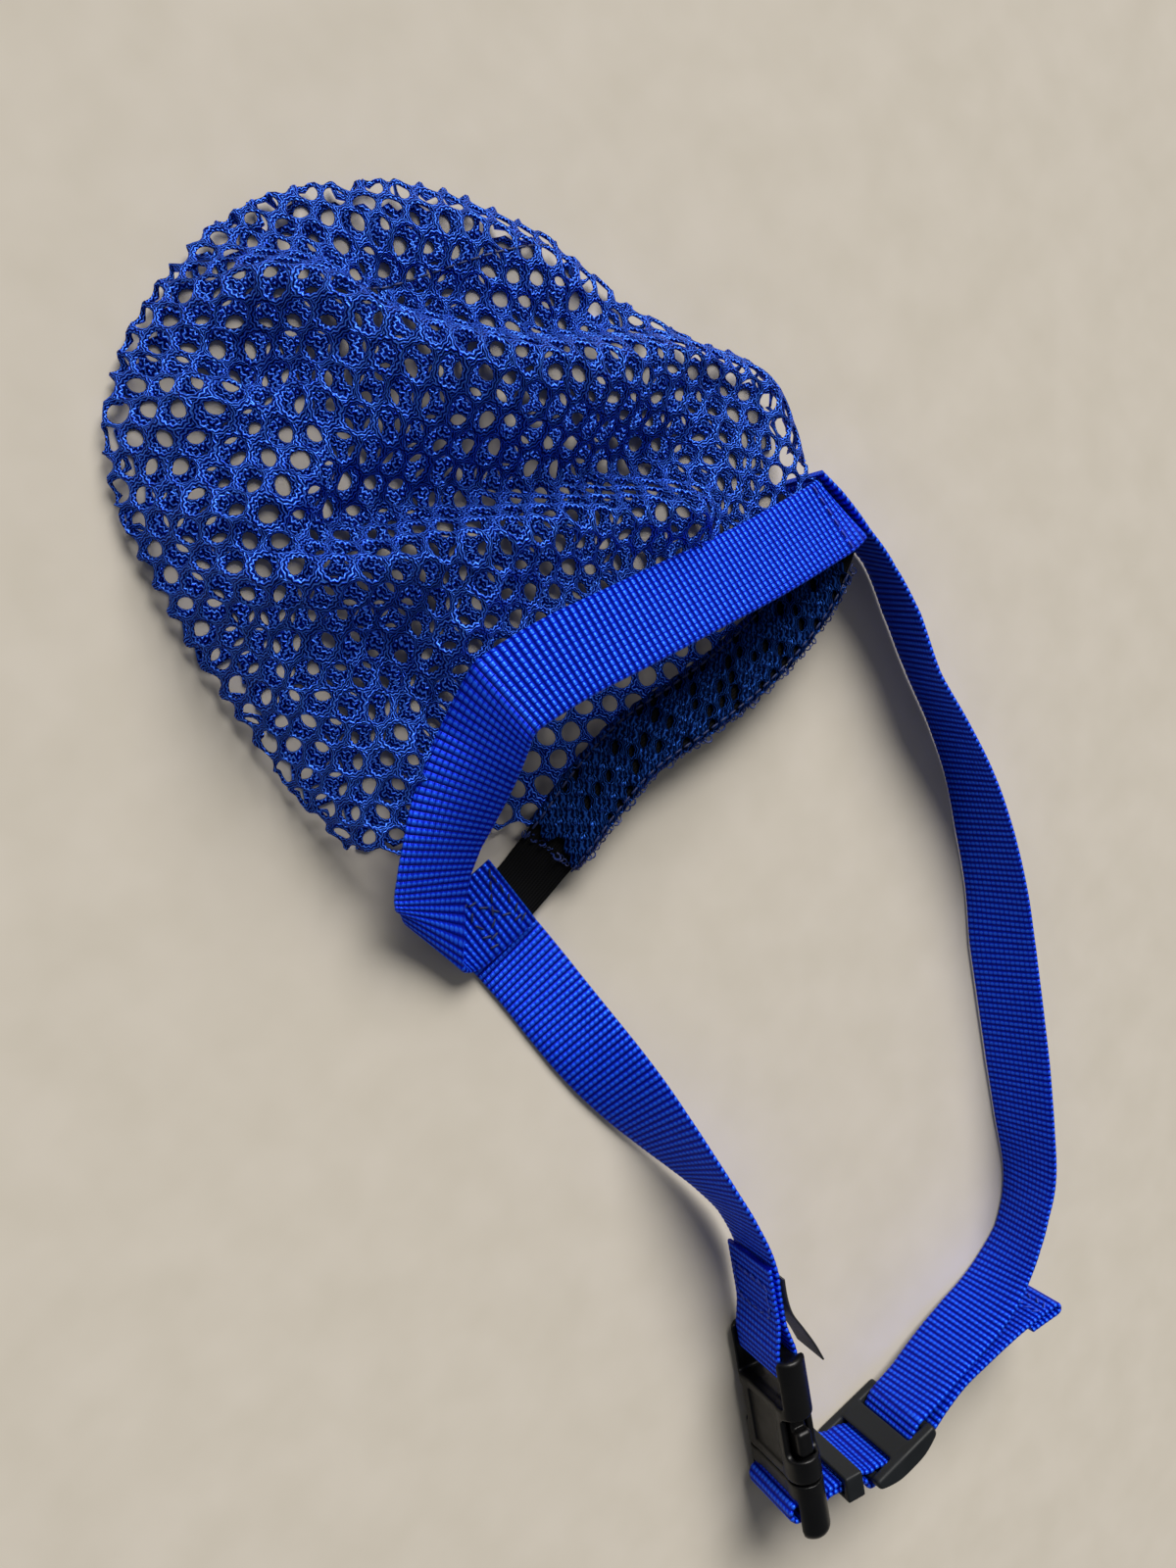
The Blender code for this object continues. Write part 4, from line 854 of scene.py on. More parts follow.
def lower_surface(hem):
    """Rows of points over the floor, rising to the hem at the mouth."""
    total = strip_lengths(hem)[-1]
    rim = pick(hem, CASING_START, total - CASING_STOP, LOWER_COLUMNS)
    edge = along_line(pouch_outline(), LOWER_COLUMNS)
    reach = HEM_WIDTH / 2 + FIT_GAP
    start_row = [centre - across * (reach + HEM_RUN_OUT) for centre, across, out in rim]
    grid = [[centre - across * (reach - HEM_RUN_OUT) for centre, across, out in rim]]
    middle = PANEL_THICKNESS / 2
    for row in range(LOWER_ROWS + 1):
        share = row / LOWER_ROWS
        line = []
        for start, end in zip(start_row, edge):
            point = start.lerp(end, share)
            fall = max(0.0, 1 - LOWER_FALL * share) ** 2
            point.z = middle + (start.z - middle) * fall
            line.append(point)
        grid.append(line)
    return grid


def height_field(grid):
    """Heights of a grid of points on a regular plan raster, carried on beyond its edges."""
    points = [point for row in grid for point in row]
    columns = len(grid[0])
    faces = []
    for r in range(len(grid) - 1):
        for c in range(columns - 1):
            near = r * columns + c
            far = near + columns
            faces.append((near, near + 1, far + 1, far))
    tree = BVHTree.FromPolygons(points, faces)
    field = np.full(FIELD_SIZE, np.nan)
    for i in range(FIELD_SIZE[0]):
        for j in range(FIELD_SIZE[1]):
            above = Vector((FIELD_LOW[0] + i * FIELD_STEP, FIELD_LOW[1] + j * FIELD_STEP, RAY_HEIGHT))
            hit = tree.ray_cast(above, -UP)[0]
            if hit:
                field[i, j] = hit.z
    for sweep in range(FILL_SWEEPS):
        gaps = np.isnan(field)
        if not gaps.any():
            break
        padded = np.pad(field, 1, constant_values=np.nan)
        near = np.stack([padded[:-2, 1:-1], padded[2:, 1:-1], padded[1:-1, :-2], padded[1:-1, 2:]])
        known = ~np.isnan(near)
        mean = np.where(known, near, 0).sum(0) / np.maximum(known.sum(0), 1)
        field = np.where(gaps & known.any(0), mean, field)
    return np.nan_to_num(field, nan=float(np.nanmin(field)))


def between(raster, spots):
    """Raster values at places between its points, in proportion."""
    spots = np.clip(spots, 0, np.array(raster.shape[:2]) - 1.001)
    low = spots.astype(int)
    share = spots - low
    i, j = low[..., 0], low[..., 1]
    u, v = share[..., 0], share[..., 1]
    if raster.ndim > 2:
        u, v = u[..., None], v[..., None]
    near = raster[i, j] * (1 - v) + raster[i, j + 1] * v
    far = raster[i + 1, j] * (1 - v) + raster[i + 1, j + 1] * v
    return near * (1 - u) + far * u


def sample(field, plan):
    """Field values at plan points."""
    return between(field, (plan - np.array(FIELD_LOW)) / FIELD_STEP)


def on_field(field, places):
    """Points of a surface at plan places and the directions that stand out from it."""
    slope_x, slope_y = np.gradient(field, FIELD_STEP)
    normal = np.stack([-sample(slope_x, places), -sample(slope_y, places), np.ones(len(places))], -1)
    normal /= np.linalg.norm(normal, axis=1)[:, None]
    return np.concatenate([places, sample(field, places)[:, None]], -1), normal


def plan_of(points):
    return np.array([point.xy for point in points])


def plan_spin(turn):
    """Matrix that turns plan points given as rows."""
    return np.array(((math.cos(turn), math.sin(turn)), (-math.sin(turn), math.cos(turn))))


def nearest_on_line(plan, line):
    """Distance to a plan line, the nearest point on it and the direction to its left-hand side."""
    best = np.full(len(plan), 1e9)
    spot = np.zeros_like(plan)
    out = np.zeros_like(plan)
    for start, end in zip(line[:-1], line[1:]):
        run = end - start
        share = np.clip(((plan - start) @ run) / (run @ run), 0, 1)
        near = start + share[:, None] * run
        gap = np.linalg.norm(plan - near, axis=1)
        closer = gap < best
        best = np.where(closer, gap, best)
        spot[closer] = near[closer]
        out[closer] = np.array((-run[1], run[0])) / np.linalg.norm(run)
    return best, spot, out


def inside(plan, polygon):
    """Which plan points lie inside a closed polygon."""
    result = np.zeros(len(plan), bool)
    for (x0, y0), (x1, y1) in zip(polygon, np.roll(polygon, -1, axis=0)):
        crosses = (y0 > plan[:, 1]) != (y1 > plan[:, 1])
        reach = x0 + (plan[:, 1] - y0) * (x1 - x0) / (y1 - y0 + 1e-12)
        result ^= crosses & (plan[:, 0] < reach)
    return result


def raster_plan():
    """Plan places of the raster's points."""
    x = FIELD_LOW[0] + np.arange(FIELD_SIZE[0]) * FIELD_STEP
    y = FIELD_LOW[1] + np.arange(FIELD_SIZE[1]) * FIELD_STEP
    return np.stack(np.meshgrid(x, y, indexing="ij"), -1).reshape(-1, 2)


def fold_field(field, outline, rim):
    """The surface with its folds, which die away towards the pouch's edge and the nose band."""
    plan = raster_plan()
    raised = np.zeros(len(plan))
    sunk = np.zeros(len(plan))
    for line, height, left, right in FOLDS:
        path = plan_of(place(*point) for point in smooth([Vector(point).to_3d() for point in line], 3))
        gap, spot, out = nearest_on_line(plan, path)
        side = ((plan - spot) * out).sum(1)
        reach = np.where(side > 0, left, right) * MM
        level = height * MM * np.exp(-((gap / reach) ** FOLD_SHARPNESS))
        raised = np.maximum(raised, level)
        sunk = np.minimum(sunk, level)
    ease = np.clip(nearest_on_line(plan, outline)[0] / FOLD_EASE, 0, 1)
    ease *= np.clip(nearest_on_line(plan, rim)[0] / FOLD_EASE, 0, 1)
    wrinkle = np.array([fold_noise(x, y) for x, y in plan])
    folds = ((raised + sunk + wrinkle) * ease).reshape(FIELD_SIZE)
    for sweep in range(FOLD_ROUNDING):
        folds[1:-1] = (folds[:-2] + folds[1:-1] + folds[2:]) / 3
        folds[:, 1:-1] = (folds[:, :-2] + folds[:, 1:-1] + folds[:, 2:]) / 3
    return field + folds


def fold_noise(x, y):
    return sum(height * noise.noise(Vector((x * rate, y * rate, level))) for height, rate, level in CRUMPLES)


# Knitted mesh

CELL_STEPS = 3
CELL_LEVELS = ((1.0, 1.0), (0.45, 0.86), (0.0, 0.0), (0.45, -0.72), (1.0, -0.90))
STRAND_STRETCH = 1.25
JOIN_DISTANCE = 0.00002
WALL_WIDTH = 0.0008
SPOTS_PER_METRE = 1e5
KNIT_MIDDLE = place(24, 82)
CLOTH_STEP = 0.003
UPPER_SHEET = (0.230, 0.220)
UPPER_TURN = math.radians(-53.0)
UPPER_HOLES = (0.92, 1.12)
UPPER_SEED = 11
UPPER_OVERHANG = 0.0022
UPPER_LOWEST = 0.0009
LOWER_SHEET = (0.215, 0.205)
LOWER_TURN = math.radians(-38.0)
LOWER_HOLES = (0.85, 1.05)
LOWER_SEED = 23
LOWER_INSET = 0.0038
HOLE_PULL = 0.14
RELAX_START = 0.94
RELAX_SWEEPS = 320
RELAX_RATE = 1.6
SLANT_PULL = 0.35


def knit_cell(pitch, row_height, row_shift, half_hole, hole_turn, crown):
    """One hole of the knit and the half strands round it: a six-sided ring that meets its neighbours."""
    neighbours = []
    for i, j in ((1, 0), (0, 1), (-1, 1), (-1, 0), (0, -1), (1, -1)):
        neighbours.append(Vector((i * pitch + j * row_shift, j * row_height)))
    corners = []
    for first, second in zip(neighbours, neighbours[1:] + neighbours[:1]):
        turn = first.x * second.y - first.y * second.x
        x = (first.length_squared * second.y - second.length_squared * first.y) / (2 * turn)
        y = (second.length_squared * first.x - first.length_squared * second.x) / (2 * turn)
        corners.append(Vector((x, y)))
    rim = []
    for first, second in zip(corners, corners[1:] + corners[:1]):
        rim += [first.lerp(second, k / CELL_STEPS) for k in range(CELL_STEPS)]
    count = len(rim)
    hole = []
    for point in rim:
        angle = math.atan2(point.y, point.x) - hole_turn
        reach = 1 / math.hypot(math.cos(angle) / half_hole[0], math.sin(angle) / half_hole[1])
        hole.append(point.normalized() * reach)
    points = []
    for outward, level in CELL_LEVELS:
        points += [(*edge.lerp(point, outward), level * crown) for edge, point in zip(hole, rim)]
    faces = []
    uv = []
    widths = [(point - edge).length for edge, point in zip(hole, rim)]
    runs = [0.0]
    for k in range(count):
        runs.append(runs[-1] + (hole[(k + 1) % count] - hole[k]).length * STRAND_STRETCH)
    for ring in range(len(CELL_LEVELS) - 1):
        for k in range(count):
            j = (k + 1) % count
            faces.append((ring * count + k, (ring + 1) * count + k, (ring + 1) * count + j, ring * count + j))
            for column, r in ((k, ring), (k, ring + 1), (j, ring + 1), (j, ring)):
                along = runs[k] if column == k else runs[k + 1]
                uv.append((along, widths[column] * CELL_LEVELS[r][0]))
    made = mesh_object("knit_cell", points, faces, KNIT, uv, "strand_uv", keep_faces=True)
    return made, len(faces)


def start_tree(name, inputs):
    """Geometry tree with its named inputs, and their sockets."""
    tree = bpy.data.node_groups.new(name, "GeometryNodeTree")
    tree.interface.new_socket("Geometry", in_out="OUTPUT", socket_type="NodeSocketGeometry")
    for label, kind in inputs:
        tree.interface.new_socket(label, in_out="INPUT", socket_type="NodeSocket" + kind)
    return tree, add_node(tree, "NodeGroupInput")


def finish_tree(tree, instances, material, join=0.0):
    """Makes a tree's instances one mesh of one material, its doubled points joined if asked."""
    mesh = add_node(tree, "GeometryNodeRealizeInstances", {0: instances})
    if join:
        mesh = add_node(tree, "GeometryNodeMergeByDistance", {"Geometry": mesh[0], "Distance": join})
    dressed = add_node(tree, "GeometryNodeSetMaterial", {"Geometry": mesh[0], "Material": material})
    add_node(tree, "NodeGroupOutput", {0: dressed[0]})
    return tree


def knit_tree():
    """Tree that lays the knit's cells in rows, each row moved on by the same shift."""
    inputs = (
        ("Cell", "Object"), ("Pitch", "Float"), ("Row Height", "Float"), ("Row Shift", "Float"),
        ("Columns", "Int"), ("Rows", "Int"), ("Yarn", "Material"),
    )
    tree, given = start_tree("knit_rows", inputs)
    cell_count = add_node(tree, MATH, {0: given["Columns"], 1: given["Rows"]}, operation="MULTIPLY")
    cells = add_node(tree, "GeometryNodePoints", {"Count": cell_count[0]})
    index = add_node(tree, "GeometryNodeInputIndex")
    ratio = add_node(tree, MATH, {0: index[0], 1: given["Columns"]}, operation="DIVIDE")
    row = add_node(tree, MATH, {0: ratio[0]}, operation="FLOOR")
    column = add_node(tree, MATH, {0: index[0], 1: given["Columns"]}, operation="FLOORED_MODULO")
    pushed = add_node(tree, MATH, {0: row[0], 1: given["Row Shift"]}, operation="MULTIPLY")
    shift = add_node(tree, MATH, {0: pushed[0], 1: given["Pitch"]}, operation="FLOORED_MODULO")
    x = add_node(tree, MATH, {0: column[0], 1: given["Pitch"], 2: shift[0]}, operation="MULTIPLY_ADD")
    y = add_node(tree, MATH, {0: row[0], 1: given["Row Height"]}, operation="MULTIPLY")
    spot = add_node(tree, "ShaderNodeCombineXYZ", {0: x[0], 1: y[0]})
    placed = add_node(tree, "GeometryNodeSetPosition", {"Geometry": cells[0], "Position": spot[0]})
    shape = add_node(tree, "GeometryNodeObjectInfo", {"Object": given["Cell"]})["Geometry"]
    laid = add_node(tree, "GeometryNodeInstanceOnPoints", {"Points": placed[0], "Instance": shape})
    return finish_tree(tree, laid[0], given["Yarn"], JOIN_DISTANCE)


def run_tree(name, tree, source, **values):
    """Plain mesh that a geometry tree makes on a source mesh, with its named inputs set."""
    holder = link_object(name + "_source", source or bpy.data.meshes.new(name + "_source"))
    modifier = holder.modifiers.new("tree", "NODES")
    modifier.node_group = tree
    for item in tree.interface.items_tree:
        if item.in_out == "INPUT" and item.name in values:
            modifier[item.identifier] = values[item.name]
    bpy.context.view_layer.update()
    ready = holder.evaluated_get(bpy.context.evaluated_depsgraph_get())
    mesh = bpy.data.meshes.new_from_object(ready)
    mesh.name = name
    bpy.data.objects.remove(holder)
    return mesh


def knit_sheet(name, tree, yarn, size, pitch, row_height, row_shift, half_hole, hole_turn, crown):
    """Flat knit centred on the origin, as arrays: points, faces, UV of each corner, each face's cell and the
    cells' middles."""
    cell, cell_faces = knit_cell(pitch, row_height, row_shift, half_hole, hole_turn, crown)
    columns = round(size[0] / pitch)
    rows = round(size[1] / row_height)
    values = {"Cell": cell, "Pitch": pitch, "Row Height": row_height, "Row Shift": row_shift}
    mesh = run_tree(name, tree, None, **values, Columns=columns, Rows=rows, Yarn=yarn)
    bpy.data.objects.remove(cell)
    points = np.zeros(len(mesh.vertices) * 3)
    mesh.vertices.foreach_get("co", points)
    points = points.reshape(-1, 3)
    points[:, 0] -= columns * pitch / 2
    points[:, 1] -= (rows - 1) * row_height / 2
    faces = np.zeros(len(mesh.loops), int)
    mesh.loops.foreach_get("vertex_index", faces)
    faces = faces.reshape(-1, 4)
    uv = np.zeros(len(mesh.loops) * 2)
    mesh.attributes["strand_uv"].data.foreach_get("vector", uv)
    uv = uv.reshape(-1, 4, 2)
    bpy.data.meshes.remove(mesh)
    middles = points[faces].mean(1).reshape(-1, cell_faces, 3).mean(1)[:, :2]
    return points, faces, uv, np.repeat(np.arange(len(middles)), cell_faces), middles


def open_holes(knit, crown, sizes):
    """Scales each hole of the knit by its own size."""
    points, faces, uv, cell_of, middles = knit
    owner = np.zeros(len(points), int)
    owner[faces.ravel()] = np.repeat(cell_of, 4)
    inner = (points[:, 2] < 0.95 * crown) & (points[:, 2] > -0.8 * crown)
    centre = middles[owner[inner]]
    points[inner, :2] = centre + (points[inner, :2] - centre) * sizes[owner[inner]][:, None]


def sway_strands(points):
    """Lets the strands of the knit wander a little, in the same way on each run."""
    noise.seed_set(SWAY_SEED)
    for v, (x, y, z) in enumerate(points):
        sway = noise.noise_vector(Vector((x * SWAY_RATE, y * SWAY_RATE, SWAY_SLICE)))
        points[v, 0] += SWAY * sway.x
        points[v, 1] += SWAY * sway.y


def close_rim(points, faces, uv):
    """Adds the walls that join the knit's face to its back where cells were cut away."""
    edges = {}
    for face in faces:
        for k in range(4):
            pair = (face[k], face[(k + 1) % 4])
            if not edges.pop(pair[::-1], False):
                edges[pair] = True

    def spot(v):
        return round(points[v, 0] * SPOTS_PER_METRE), round(points[v, 1] * SPOTS_PER_METRE)

    at = {}
    for pair in edges:
        for v in pair:
            at.setdefault(spot(v), set()).add(v)
    walls = []
    for first, second in edges:
        if points[first, 2] < 0:
            continue
        under = [[w for w in at[spot(v)] if points[w, 2] < 0] for v in (first, second)]
        if all(under):
            walls.append((second, first, under[0][0], under[1][0]))
    if not walls:
        return faces, uv
    flat = np.zeros((len(walls), 4, 2))
    flat[:, :, 1] = WALL_WIDTH
    return np.vstack([faces, np.array(walls)]), np.concatenate([uv, flat])


def knit_object(name, points, faces, uv, material):
    used, faces = np.unique(faces, return_inverse=True)
    faces = faces.reshape(-1, 4)
    return mesh_object(
        name, points[used].tolist(), faces.tolist(), material, uv.reshape(-1, 2), "strand_uv", keep_faces=True
    )


def relaxed_plan(field, middle, turn, size, step):
    """Plan places of a flat cloth's raster when it lies on a surface and each thread keeps its length."""
    counts = (round(size[0] / step) + 1, round(size[1] / step) + 1)
    u = (np.arange(counts[0]) - (counts[0] - 1) / 2) * step
    v = (np.arange(counts[1]) - (counts[1] - 1) / 2) * step
    flat = np.stack(np.meshgrid(u, v, indexing="ij"), -1)
    plan = (flat @ plan_spin(turn)) * RELAX_START + np.array(middle)
    pairs = (((1, 0), 1.0), ((0, 1), 1.0), ((1, 1), SLANT_PULL), ((1, -1), SLANT_PULL))
    fixed = plan[counts[0] // 2, counts[1] // 2].copy()
    for sweep in range(RELAX_SWEEPS):
        whole = np.concatenate([plan, sample(field, plan)[..., None]], -1)
        push = np.zeros_like(plan)
        weight = np.zeros(counts)
        for (i, j), strength in pairs:
            rest = step * math.hypot(i, j)
            near = (slice(0, counts[0] - i), slice(max(0, -j), counts[1] - max(0, j)))
            far = (slice(i, counts[0]), slice(max(0, j), counts[1] + min(0, j)))
            gap = whole[far] - whole[near]
            length = np.linalg.norm(gap, axis=-1)
            move = ((length - rest) / length * 0.5 * strength)[..., None] * gap[..., :2]
            push[near] += move
            push[far] -= move
            weight[near] += strength
            weight[far] += strength
        plan = plan + push / weight[..., None] * RELAX_RATE
        plan += fixed - plan[counts[0] // 2, counts[1] // 2]
    return plan


def cloth_places(plan, step, flat):
    """Plan places of points given on the flat cloth."""
    return between(plan, flat / step + (np.array(plan.shape[:2]) - 1) / 2)


def turn_under(field, places, outline, rim):
    """Points of the folded surface and their outward directions, turned under past the pouch's edge."""
    gap, spot, out = nearest_on_line(places, outline)
    past_rim = nearest_on_line(places, rim)[0] < gap
    within = inside(places, np.concatenate([outline, rim[::-1]]))
    beyond = np.where(within | past_rim, -gap, gap)
    angle = np.clip((beyond + EDGE_TURN) / EDGE_TURN, 0, math.pi)
    past = np.maximum(0, beyond + EDGE_TURN - math.pi * EDGE_TURN)
    reach = -EDGE_TURN + EDGE_TURN * np.sin(angle) - past
    level = sample(field, spot - out * EDGE_TURN) - EDGE_TURN * (1 - np.cos(angle))
    edge = np.concatenate([spot + out * reach[:, None], level[:, None]], -1)
    edge_normal = np.concatenate([out * np.sin(angle)[:, None], np.cos(angle)[:, None]], -1)
    turned = (beyond > -EDGE_TURN)[:, None]
    surface, normal = on_field(field, places)
    return np.where(turned, edge, surface), np.where(turned, edge_normal, normal)


def build_upper_knit(tree, band):
    """Upper half of the pouch: the knit laid over the folded surface and turned under at the pouch's edge."""
    surface = upper_surface(band)
    outline = plan_of(pouch_outline())
    rim = plan_of(surface[1])
    field = fold_field(height_field(surface), outline, rim)
    plan = relaxed_plan(field, KNIT_MIDDLE.xy, UPPER_TURN, UPPER_SHEET, CLOTH_STEP)
    knit = knit_sheet(
        "upper_knit", tree, KNIT, UPPER_SHEET, KNIT_PITCH, KNIT_ROW, KNIT_PITCH / 2 + KNIT_SHEAR,
        KNIT_HALF_HOLE, KNIT_HOLE_TURN, KNIT_CROWN,
    )
    points, faces, uv, cell_of, middles = knit
    open_holes(knit, KNIT_CROWN, np.random.default_rng(UPPER_SEED).uniform(*UPPER_HOLES, len(middles)))
    sway_strands(points)
    spots = cloth_places(plan, CLOTH_STEP, middles)
    to_edge = nearest_on_line(spots, outline)[0]
    to_rim = nearest_on_line(spots, rim)[0]
    kept = inside(spots, np.concatenate([outline, rim[::-1]]))
    kept |= (to_edge < UPPER_OVERHANG) & (to_edge < to_rim)
    faces, uv = close_rim(points, faces[kept[cell_of]], uv[kept[cell_of]])
    final, normal = turn_under(field, cloth_places(plan, CLOTH_STEP, points[:, :2]), outline, rim)
    final = final + normal * points[:, 2:3]
    final[:, 2] = np.maximum(final[:, 2], UPPER_LOWEST)
    return knit_object("upper_knit", final, faces, uv, KNIT), field


def lower_crumple(outline, mouth):
    """Crumples of the lower panel, which die away towards the pouch's edge and its mouth."""
    plan = raster_plan()
    slices = [Vector((x * CRUMPLE_RATE, y * CRUMPLE_RATE, CRUMPLE_SLICE)) for x, y in plan]
    crumple = np.array([0.5 + noise.noise(spot) for spot in slices])
    ease = np.ones(len(plan))
    for line, width in ((outline, CRUMPLE_EDGE), (mouth, CRUMPLE_MOUTH)):
        ease *= np.clip(nearest_on_line(plan, line)[0] / width - CRUMPLE_FLAT, 0, 1)
    return (LOWER_CRUMPLE * np.maximum(crumple, 0) * ease).reshape(FIELD_SIZE)


def build_lower_knit(tree, hem):
    """Lower half of the pouch: the knit on the floor with its crumples, rising to the hem."""
    surface = lower_surface(hem)
    outline = plan_of(pouch_outline())
    rim = plan_of(surface[0])
    field = height_field(surface) + lower_crumple(outline, plan_of(surface[1]))
    knit = knit_sheet(
        "lower_knit", tree, KNIT, LOWER_SHEET, KNIT_PITCH, KNIT_ROW, KNIT_PITCH / 2 - KNIT_SHEAR,
        KNIT_HALF_HOLE, -KNIT_HOLE_TURN, LOWER_CROWN,
    )
    points, faces, uv, cell_of, middles = knit
    spin = plan_spin(LOWER_TURN)
    middle = np.array(KNIT_MIDDLE.xy)
    spots = middles @ spin + middle
    pulled = np.clip(nearest_on_line(spots, rim)[0] / MOUTH_STRETCH - 0.5, 0, 1)
    sizes = np.random.default_rng(LOWER_SEED).uniform(*LOWER_HOLES, len(middles)) - HOLE_PULL * pulled
    open_holes(knit, LOWER_CROWN, sizes)
    sway_strands(points)
    kept = inside(spots, np.concatenate([outline, rim[::-1]]))
    kept &= nearest_on_line(spots, outline)[0] > LOWER_INSET
    faces, uv = close_rim(points, faces[kept[cell_of]], uv[kept[cell_of]])
    final, normal = on_field(field, points[:, :2] @ spin + middle)
    final = final + normal * points[:, 2:3]
    final[:, 2] = np.maximum(final[:, 2], 0.0)
    return knit_object("lower_knit", final, faces, uv, KNIT)


# Hem, elastic and sewing

HEM_PITCH = 0.0042
HEM_ROWS = 11
HEM_HALF_HOLE = (0.00155, 0.00062)
HEM_HOLE_TURN = 0.75
HEM_SLIP = 5
HEM_CROWN = 0.0005
HEM_SINK = 0.0003
HEM_SEED = 5
HEM_SHUT_SHARE = 0.5
HEM_SHUT_HOLE = 0.2
HEM_HOLES = (0.95, 1.45)
HEM_CLOSED_END = 0.0130
HEM_JOIN = 0.00003
HEM_SPOTS_PER_METRE = 2e4
CASING_LEAD = 0.0040
CASING_TRAIL = 0.0045
CASING_STATIONS = 110
FRAY_INSET = 0.0004
FRAY_SPACING = 0.0012
FRAY_SEED = 4
FRAY_TURN = (0.7, 0.7, 0.9)
FRAY_SIZES = (0.4, 1.5)
LOOP_REACH = 0.0007
LOOP_RADIUS = 0.00017
LOOP_START = -55
LOOP_SWEEP = 290
THREAD_COVER = WEBBING_THICKNESS / 2 + THREAD_RADIUS / 2
CROSS_PLACE = 0.0070
CROSS_HALF_RUN = 0.0050
FOLD_BAR_PLACE = 0.0205
SEAM_STEPS = 12
LOOP_BOX = ((-1, -0.019), (1, -0.019), (1, -0.010), (-1, -0.010), (-1, -0.0175))
TAIL_ROW_PLACES = ((0.0065, 1), (0.0025, -1))
ROW_REACH = 0.40 * WEBBING_WIDTH


def casing_section(share):
    """Offsets across and out, and the outward direction, at a share of the way round the casing."""
    radius = HEM_THICKNESS / 2
    side = HEM_WIDTH - 2 * radius
    round_end = math.pi * radius
    distance = (share % 1.0) * 2 * (side + round_end)
    if distance < side:
        return side / 2 - distance, -radius, 0.0, -1.0
    distance -= side
    if distance < round_end:
        sine = math.sin(distance / radius)
        cosine = math.cos(distance / radius)
        return -side / 2 - radius * sine, -radius * cosine, -sine, -cosine
    distance -= round_end
    if distance < side:
        return distance - side / 2, radius, 0.0, 1.0
    sine = math.sin((distance - side) / radius)
    cosine = math.cos((distance - side) / radius)
    return side / 2 + radius * sine, radius * cosine, sine, cosine


def build_hem(tree, casing):
    """Casing of doubled knit round the elastic, its holes pulled to slanted slits."""
    lengths = strip_lengths(casing)
    total = lengths[-1]
    perimeter = 2 * (HEM_WIDTH - HEM_THICKNESS) + math.pi * HEM_THICKNESS
    knit = knit_sheet(
        "chin_hem_knit", tree, SHADED_HEM_KNIT, (total + 4 * HEM_PITCH, perimeter), HEM_PITCH, perimeter / HEM_ROWS,
        HEM_PITCH * HEM_SLIP / HEM_ROWS, HEM_HALF_HOLE, HEM_HOLE_TURN, HEM_CROWN,
    )
    points, faces, uv, cell_of, middles = knit
    chance = np.random.default_rng(HEM_SEED)
    shut = chance.random(len(middles)) < HEM_SHUT_SHARE
    shut |= middles[:, 0] < HEM_CLOSED_END - total / 2
    sizes = np.where(shut, HEM_SHUT_HOLE, chance.uniform(*HEM_HOLES, len(middles)))
    open_holes(knit, HEM_CROWN, sizes)
    kept = np.abs(middles[:, 0]) < total / 2 - HEM_PITCH / 2
    wrapped = points.copy()
    wrapped[:, 1] = np.mod(np.round(points[:, 1], 6), round(perimeter, 6))
    wrapped[np.abs(wrapped[:, 1] - perimeter) < HEM_JOIN, 1] = 0.0
    keys = np.round(wrapped * HEM_SPOTS_PER_METRE).astype(int)
    first, same = np.unique(keys, axis=0, return_index=True, return_inverse=True)[1:]
    faces = first[same.reshape(-1)][faces[kept[cell_of]]]
    faces, uv = close_rim(wrapped, faces, uv[kept[cell_of]])
    final = np.zeros_like(points)
    for v in np.unique(faces):
        centre, across, out = strip_at(casing, lengths, min(total, max(0.0, wrapped[v, 0] + total / 2)))
        aside, level, side_part, out_part = casing_section(wrapped[v, 1] / perimeter)
        normal = across * side_part + out * out_part
        final[v] = centre + across * aside + out * level + normal * (wrapped[v, 2] - HEM_SINK)
    return knit_object("chin_hem_knit", final, faces, uv, SHADED_HEM_KNIT)


def stitch_shape():
    """One stitch of sewing thread, thinner where it dives into the cloth."""
    sides = 6
    rings = ((-0.5, 0.35), (-0.40, 0.80), (-0.15, 1.0), (0.15, 1.0), (0.40, 0.80), (0.5, 0.35))
    points = []
    for level, share in rings:
        for k in range(sides):
            angle = 2 * math.pi * k / sides
            reach = share * THREAD_RADIUS
            points.append((reach * math.cos(angle), reach * math.sin(angle), level * STITCH_LENGTH))
    faces = [tuple(reversed(range(sides))), tuple(range((len(rings) - 1) * sides, len(rings) * sides))]
    faces += ring_faces(len(rings), sides)
    return mesh_object("stitch_shape", points, faces, BLUE_THREAD, keep_faces=True)


def stitch_tree():
    """Tree that sets stitches end to end along a line."""
    inputs = (("Geometry", "Geometry"), ("Stitch", "Object"), ("Spacing", "Float"), ("Thread", "Material"))
    tree, given = start_tree("stitch_row", inputs)
    line = add_node(tree, "GeometryNodeMeshToCurve", {"Mesh": given["Geometry"]})
    spaced = {"Curve": line[0], "Length": given["Spacing"]}
    spots = add_node(tree, "GeometryNodeCurveToPoints", spaced, mode="LENGTH")
    shape = add_node(tree, "GeometryNodeObjectInfo", {"Object": given["Stitch"]})["Geometry"]
    laid_out = {"Points": spots["Points"], "Instance": shape, "Rotation": spots["Rotation"]}
    sewn = add_node(tree, "GeometryNodeInstanceOnPoints", laid_out)
    return finish_tree(tree, sewn[0], given["Thread"])


def along_path(name, tree, path, material, **values):
    """Piece that a tree makes along a path of points."""
    line = bpy.data.meshes.new(name + "_line")
    line.from_pydata([tuple(point) for point in path], [(i, i + 1) for i in range(len(path) - 1)], [])
    mesh = run_tree(name, tree, line, **values)
    mesh.shade_smooth()
    return add_object(name, mesh, material)


